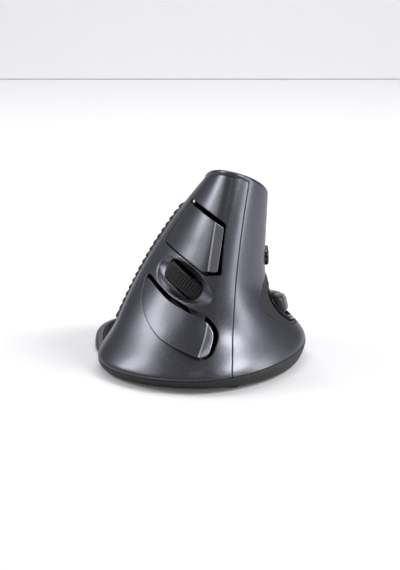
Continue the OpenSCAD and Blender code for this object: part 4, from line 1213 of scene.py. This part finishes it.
@dataclass
class ThumbSide:
    """Thumb pad, bezel, thumb keys and the resolution key."""

    bezel_up: float = 0.7
    key_out: float = 0.8
    back_in: float = 0.45
    key_low: float = 2.0
    key_lean: float = 0.45
    dpi_out: float = 1.4
    rib_pitch: float = 2.0
    rib_slant: float = 0.59
    rib_origin: Pair = (-15.5, 22.3)
    rib_half: float = 0.24
    rib_high: float = 0.4
    rib_count: float = 9.0
    rib_zone: Triple = (-17.0, 20.4, 30.0)

    def bezel_rise(self, base: Array, normal: Array) -> Array:
        """Lifts the bezel off the skin at the front, easing down to flush at the back."""
        return (0.02 + (self.bezel_up - 0.02) * smooth((5 - base[:, 1]) / 9))[:, None] * normal

    def pad_relief(self, base: Array, d: Array) -> Array:
        """Raises slanted ribs along the front of the pad: rounded ridges of the slid length y - k z."""
        y, z = base[:, 1], base[:, 2]
        front, low, high = self.rib_zone
        u = (y - self.rib_slant * (z - self.rib_origin[1]) - self.rib_origin[0]) / self.rib_pitch
        ridge = np.sqrt(ramp(1 - ((u - np.round(u)) / self.rib_half) ** 2))
        zone = smooth((d - 1.0) / 0.8) * smooth((high - z) / 1.2) * smooth((z - low) / 1.2) * smooth(y - front)
        return self.rib_high * ridge * zone * smooth((self.rib_count - u) / 0.3 + 0.5)

    def build(self) -> None:
        """Makes the four kinds of piece."""
        rows, cols = np.linspace(0.1, 0.6, 170), np.linspace(0.35, 1.75, 220)
        pad = Panel("thumb_pad_rubber", lambda p: np.minimum(
            -LAYOUT.on_thumb_side(p, lambda yz: outline_distance(yz, LAYOUT.thumb_pad)),
            LAYOUT.on_thumb_side(p, LAYOUT.bezel) - LAYOUT.panel_gap), rows, cols, edge=0.45, relief=self.pad_relief)
        seat(pad.build(), Ride.HOUSING, Slot.PAD, PAD_RUBBER, "thumb_pad")
        hole = LAYOUT.key_r + LAYOUT.key_play

        def bezel_inside(p: Array) -> Array:
            """Distance inside the bezel and outside the key holes."""
            return np.minimum.reduce([
                -LAYOUT.on_thumb_side(p, LAYOUT.bezel),
                *(LAYOUT.on_thumb_side(p, lambda yz, k=k, low=low: LAYOUT.key_hole(yz + low, k, hole))
                  for k in (LAYOUT.forward, LAYOUT.back) for low in (np.zeros(2), np.array([0.0, self.key_low])))])

        bezel = Panel("thumb_bezel_rim", bezel_inside, rows, cols, edge=0.6, wall=2.7, shift=self.bezel_rise)
        seat(bezel.build(), Ride.HOUSING, Slot.GLOSS, BEZEL_BLACK, "thumb_bezel")
        self.key("forward_key_bar", LAYOUT.forward, self.key_out, Ride.FORWARD_KEY, "forward_button")
        self.key("back_key_bar", LAYOUT.back, self.key_out - self.back_in, Ride.BACK_KEY, "back_button")
        self.dpi_key()

    def key(self, name: str, ends: Pair, out: float, ride: Ride, node: str) -> None:
        """Makes a thumb key: a ball-ended bar along the falling line, deeper below it, with a fine groove outside.

        Args:
            name: Piece name.
            ends: The two end centres along Y.
            out: How far its middle line stands off the skin.
            ride: Body that it rides on.
            node: CAD node that it stands for.
        """
        r, k = LAYOUT.key_r, 72
        a, b = BODY.thumb_points(np.array([LAYOUT.key_end(y) for y in ends])) + np.array([out, 0, 0])
        under = BODY.thumb_points(np.array([LAYOUT.key_end(y, 4.0) for y in ends])) + np.array([out, 0, 0])
        lean = self.key_lean * (under - [a, b])[:, 0].mean() / 4.0
        length = np.linalg.norm(b - a)
        along = (b - a) / length
        side = np.cross(along, [0, 0, 1.0])
        side /= np.linalg.norm(side)
        up = np.cross(side, along)
        turn = np.linspace(-math.pi / 2, math.pi / 2, 29)
        s = np.concatenate([r * np.sin(turn[:15]), np.linspace(0, length, 25)[1:-1], length + r * np.sin(turn[14:])])
        size = np.concatenate([np.cos(turn[:15]), np.ones(23), np.cos(turn[14:])])
        w = np.linspace(0, 2 * math.pi, k, endpoint=False)
        notch = 0.16 * np.exp(-(((np.angle(np.exp(1j * (w - 0.62)))) / 0.055) ** 2))
        reach = r * np.maximum(size, 0.01)[:, None] - notch[None, :] * smooth(size * 2 - 0.7)[:, None]
        high = np.where(np.sin(w) < 0, 1 + self.key_low / r, 1.0) * np.sin(w)
        wide = np.cos(w) + lean * ramp(-high)
        rings = (a + s[:, None, None] * along
                 + reach[..., None] * (wide[None, :, None] * side + high[None, :, None] * up))
        points, faces = loft(rings)
        seat(make_object(name, points, faces), ride, Slot.KEY_GREY, KEY_GREY, node)

    def dpi_key(self) -> None:
        """Makes the glossy resolution key: rings of a bar's outline, drawn in over a rounded edge."""
        k, r, half = 96, LAYOUT.dpi_r, LAYOUT.dpi_half
        face = BODY.thumb_points(np.array([LAYOUT.dpi_at]))[0, 0] + self.dpi_out
        w = (np.arange(k) + 0.5) * 2 * math.pi / k
        turn = np.linspace(0, math.pi / 2, 7)
        depth = np.concatenate([[-6.5, -1.6], 0.7 * np.sin(turn) - 0.75, [-0.02, 0.0]])
        inset = np.concatenate([[0, 0], 0.7 * (1 - np.cos(turn)), [1.5, 2.3]])
        rr = (r - inset)[:, None]
        a = half * np.sign(np.cos(w))[None, :] + rr * np.cos(w)[None, :]
        b = rr * np.sin(w)[None, :]
        tilt = math.radians(LAYOUT.dpi_turn)
        c, s = math.cos(tilt), math.sin(tilt)
        y, z = LAYOUT.dpi_at
        rings = np.stack([np.broadcast_to((face + depth)[:, None], a.shape), y + a * c - b * s, z + a * s + b * c], -1)
        points, faces = loft(rings)
        seat(make_object("dpi_key_cap", points, faces), Ride.DPI_KEY, Slot.GLOSS, GLOSS_BLACK, "dpi_button")


@dataclass
class PalmDome:
    """Low dome of the palm rest over plan points (y, x): z = top - R + sqrt(R^2 - d^2)."""

    top: float = 4.4
    radius: float = 125.0
    middle: Pair = (22.0, -24.0)

    def points(self, uv: Array) -> Array:
        """Gives points over plan pairs."""
        d2 = ((uv - np.array(self.middle)) ** 2).sum(1)
        return np.column_stack([uv[:, 1], uv[:, 0], self.top - self.radius + np.sqrt(self.radius**2 - d2)])

    def normals(self, uv: Array) -> Array:
        """Gives the direction in which edges drop and ribs rise, straight up."""
        return np.tile([0.0, 0.0, 1.0], (len(uv), 1))


@dataclass
class PalmRest:
    """Clip-on palm rest: a low crescent beside the body, its ribbed rubber pad and its tongue."""

    foot: float = 0.8
    pad_inset: float = 3.1
    pad_reach: float = 20.0
    rib_pitch: float = 1.3
    rib_turn: float = 66.0
    rib_high: float = 0.55
    dome: PalmDome = field(default_factory=PalmDome)

    def pad_distance(self, p: Array) -> Array:
        """Distance inside the pad's plan: the rest drawn in, least on the body's side, within a circle."""
        far = np.hypot(p[:, 0] - self.dome.middle[1], p[:, 1] - self.dome.middle[0])
        return np.minimum.reduce([LAYOUT.palm_distance(p[:, :2]) - 0.8,
                                  -outline_distance(p[:, :2], LAYOUT.palm) - self.pad_inset, self.pad_reach - far])

    def seat_relief(self, base: Array, d: Array) -> Array:
        """Sinks a bed for the pad with a narrow gap round it."""
        return -0.6 * smooth((self.pad_distance(base) + 0.35) / 0.2)

    def rib_relief(self, base: Array, d: Array) -> Array:
        """Raises ribs along the rest: half ellipses of the distance across a slanted direction, in pitches."""
        turn = math.radians(self.rib_turn)
        u = (base[:, 0] * math.sin(turn) - base[:, 1] * math.cos(turn)) / self.rib_pitch
        return self.rib_high * np.sqrt(ramp(1 - ((u - np.round(u)) / 0.32) ** 2)) * smooth((d - 0.3) / 0.4)

    def build(self) -> None:
        """Makes the rest, its pad and its tongue."""
        rows, cols = np.linspace(-9.5, 50.0, 190), np.linspace(-37.6, -3.5, 120)
        rest = Panel("palm_rest_shell", lambda p: np.minimum(
            LAYOUT.palm_distance(p[:, :2]), 3.6 * (p[:, 2] - self.foot - 0.25)), rows, cols, edge=1.3,
                     relief=self.seat_relief, surface=self.dome, flat_back=self.foot)
        seat(rest.build(), Ride.PALM, Slot.PALM, PALM_PLASTIC, "palm_rest")
        pad = Panel("palm_pad_rubber", self.pad_distance, np.linspace(0, 44, 190), np.linspace(-36, -6, 210), edge=0.35,
                    wall=1.2, shift=lambda base, normal: 0.2 * normal, relief=self.rib_relief, surface=self.dome)
        seat(pad.build(), Ride.PALM, Slot.RUBBER, GRIP_RUBBER, "palm_pad")
        self.tongue()

    def tongue(self) -> None:
        """Makes the tongue that slides into the base: a rounded flat bar lofted along its length."""
        w = (np.arange(32) + 0.5) * 2 * math.pi / 32
        x = np.array([-7.0, -6.7, -6.2, -5.0, 0.0, 4.0])
        half = np.array([5.0, 5.6, 5.9, 6.0, 6.0, 6.0])[:, None]
        flat = np.array([0.2, 0.34, 0.4, 0.4, 0.4, 0.4])[:, None]
        y = (half - 0.3) * np.sign(np.cos(w)) + 0.3 * np.cos(w)
        z = (flat - 0.15) * np.sign(np.sin(w)) + 0.15 * np.sin(w) + self.foot + 0.75
        c = math.sqrt(0.5)
        rings = np.stack([-24 - c * x[:, None] - c * y, 26 + c * x[:, None] - c * y, z], -1)
        points, faces = loft(rings)
        seat(make_object("palm_rest_tongue", points, faces), Ride.PALM, Slot.PALM, PALM_PLASTIC)


NODE_FINISHES: dict[str, Finish] = {
    "base_plate": BASE_BLACK, "battery_door": BASE_BLACK,
    **{n: GLIDE for n in ("foot_front", "foot_rear", "foot_finger", "foot_thumb", "palm_foot_front", "palm_foot_rear")},
    **{n: INNER_PLASTIC for n in (
        "wheel_hub", "wheel_carrier", "wheel_encoder", "wheel_switch", "left_switch", "right_switch", "finger_frame",
        "forward_switch", "back_switch", "dpi_switch", "power_switch", "receiver_cap")},
    **{n: STEEL for n in ("wheel_axle", "frame_screws", "board_screws", "receiver_plug")},
    **{n: NICKEL for n in ("contact_front", "contact_rear", "cell_springs")},
    **{n: BOARD for n in ("main_board", "finger_board", "thumb_board")},
    **{n: CHIP for n in ("sensor", "controller", "antenna_module")},
    **{n: FLEX for n in ("finger_ribbon", "thumb_ribbon")},
    **{n: SLEEVE for n in ("cell_left", "cell_right")},
    "sensor_lens": LENS, "sensor_led": LAMP, "power_slider": SLIDER_WHITE,
}


@dataclass(frozen=True)
class FloorPaper:
    """Pale paper sweep that camera, glossy and transmission rays see at white, shadow kept."""

    name: str = "floor_paper"
    colour: Triple = (0.8, 0.8, 0.81)
    lift: float = 0.06

    def material(self) -> bpy.types.Material:
        """Builds the material: faint grain, and a lift that only seen rays get."""
        t = ShaderTree(self.name)
        grain = t.noise(t.place(), 60.0, 2.0)
        light = tuple(min(c + 0.01, 1.0) for c in self.colour)
        ray = t.node("ShaderNodeLightPath", {}, {})
        seen = ray[0] + ray[3] + ray[6]
        t.set(Base_Color=t.tint(grain, self.colour, light), Roughness=0.7, Specular_IOR_Level=0.2,
              Emission_Color=t.tint(seen, (0, 0, 0), (self.lift,) * 3), Emission_Strength=1.0)
        return t.material


@dataclass(frozen=True)
class SoftBox:
    """A soft rectangular lamp that faces the object (metres, watts); azimuth counts from the camera to the right."""

    name: str
    azimuth: float
    elevation: float
    away: float
    size: Pair
    watts: float


@dataclass
class Studio:
    """Floor, soft lights and the camera at the photo's angle."""

    distance: float = 0.650
    elevation: float = 14.0
    target: Triple = (0.0, 0.0, 0.0245)
    focal_px: float = 1885.0
    long_side_px: float = 570.0
    sensor: float = 36.0
    aim: Triple = (0.0, 0.0, 0.03)
    fill: float = 0.29
    fill_colour: Triple = (0.94, 0.95, 1.0)
    floor_half: float = 1500.0
    back_half: float = 330.0
    sweep_from: float = 700.0
    sweep_r: float = 300.0
    sweep_top: float = 700.0
    paper_step: float = 0.5
    lamps: tuple[SoftBox, ...] = (
        SoftBox("soft_left", -104.0, 35.0, 0.80, (0.20, 0.34), 2.2),
        SoftBox("left_fill", -80.0, 34.0, 0.80, (0.26, 0.28), 0.5),
        SoftBox("soft_right", 91.0, 15.0, 0.85, (0.24, 0.56), 2.7),
        SoftBox("right_spot", 74.0, 44.0, 0.85, (0.34, 0.22), 4.0),
        SoftBox("soft_back", 180.0, 56.0, 0.90, (0.70, 0.50), 4.0),
        SoftBox("soft_front", -6.0, 50.0, 0.90, (0.26, 0.20), 0.14),
    )

    def paper(self, name: str, profile: Array, half: float) -> None:
        """Lays one sheet of pale paper: a profile of (y, z) points carried along X, from -half to half (mm)."""
        n = len(profile)
        x = np.broadcast_to(np.array([-half, half]), (n, 2))
        points = np.dstack([x, *(np.repeat(profile[:, k:k + 1], 2, 1) for k in (0, 1))]).reshape(-1, 3)
        i = np.arange(n - 1) * 2
        obj = make_object(name, points, [np.column_stack([i, i + 1, i + 3, i + 2])])
        dress(obj, FloorPaper())

    def floor(self) -> None:
        """Lays a wide floor, and a narrow strip of the same paper that sweeps up behind the object."""
        a = np.linspace(0, math.pi / 2, 12)
        far, r = self.floor_half, self.sweep_r
        self.paper("floor_paper", np.array([[-far, 0.0], [far, 0.0]]), far)
        sweep = np.column_stack([self.sweep_from + r * np.sin(a), r + self.paper_step - r * np.cos(a)])
        top = [[self.sweep_from + r, self.sweep_top]]
        self.paper("back_paper", np.concatenate([sweep, top]), self.back_half)

    def lamp(self, box: SoftBox) -> None:
        """Adds one soft lamp, turned to face the object's middle."""
        data = bpy.data.lights.new(box.name, "AREA")
        data.shape, data.size, data.size_y, data.energy = "RECTANGLE", box.size[0], box.size[1], box.watts
        obj = bpy.data.objects.new(box.name, data)
        a, e = math.radians(box.azimuth), math.radians(box.elevation)
        way = np.array([math.sin(a) * math.cos(e), -math.cos(a) * math.cos(e), math.sin(e)])
        obj.location = np.array(self.aim) + box.away * way
        obj.rotation_euler = (math.pi / 2 - e, 0.0, a)
        bpy.context.scene.collection.objects.link(obj)

    def build(self) -> None:
        """Sets floor, lamps, world and camera."""
        scene = bpy.context.scene
        self.floor()
        for box in self.lamps:
            self.lamp(box)
        world = bpy.data.worlds.new("studio_world")
        world.use_nodes = True
        background = world.node_tree.nodes["Background"]
        background.inputs["Color"].default_value = (*self.fill_colour, 1.0)
        background.inputs["Strength"].default_value = self.fill
        scene.world = world
        scene.view_settings.view_transform = "Standard"
        data = bpy.data.cameras.new("photo_camera")
        data.sensor_width = self.sensor
        data.lens = self.sensor * self.focal_px / self.long_side_px
        data.clip_start, data.clip_end = 0.01, 10.0
        camera = bpy.data.objects.new("photo_camera", data)
        up = math.radians(self.elevation)
        camera.location = (self.target[0], self.target[1] - self.distance * math.cos(up),
                           self.target[2] + self.distance * math.sin(up))
        camera.rotation_euler = (math.pi / 2 - up, 0.0, 0.0)
        scene.collection.objects.link(camera)
        scene.camera = camera


def finger_keys() -> tuple[FingerKey, FingerKey]:
    """Gives the two finger keys with their places on the face."""
    return (
        FingerKey("left_key_plate", LAYOUT.upper, -21.2, 3.5, ((-0.97, 21.76), (8.53, 7.47)), (0.665, -1.0),
                  (0.42, 0.98, 150), (3.0, 4.25, 170), Ride.LEFT_KEY, "left_button", gap=0.30, draw_in=(-0.50, 0.15)),
        FingerKey("right_key_plate", LAYOUT.lower, -16.6, 2.5, ((18.94, -6.45), (25.26, -14.48)), (0.787, -1.0),
                  (0.06, 0.54, 150), (3.0, 4.35, 190), Ride.RIGHT_KEY, "right_button"))


def main() -> None:
    """Builds every piece in order."""
    logging.basicConfig(level=logging.INFO, format="%(name)s %(message)s")
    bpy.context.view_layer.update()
    Studio().build()
    for node, finish in NODE_FINISHES.items():
        dress(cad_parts[node], finish)
    for part in (Housing(), *finger_keys(), FingerGrip(), ScrollWheel(), ThumbSide(), PalmRest()):
        LOG.info("building %s", type(part).__name__)
        part.build()


if __name__ == "__main__":
    main()
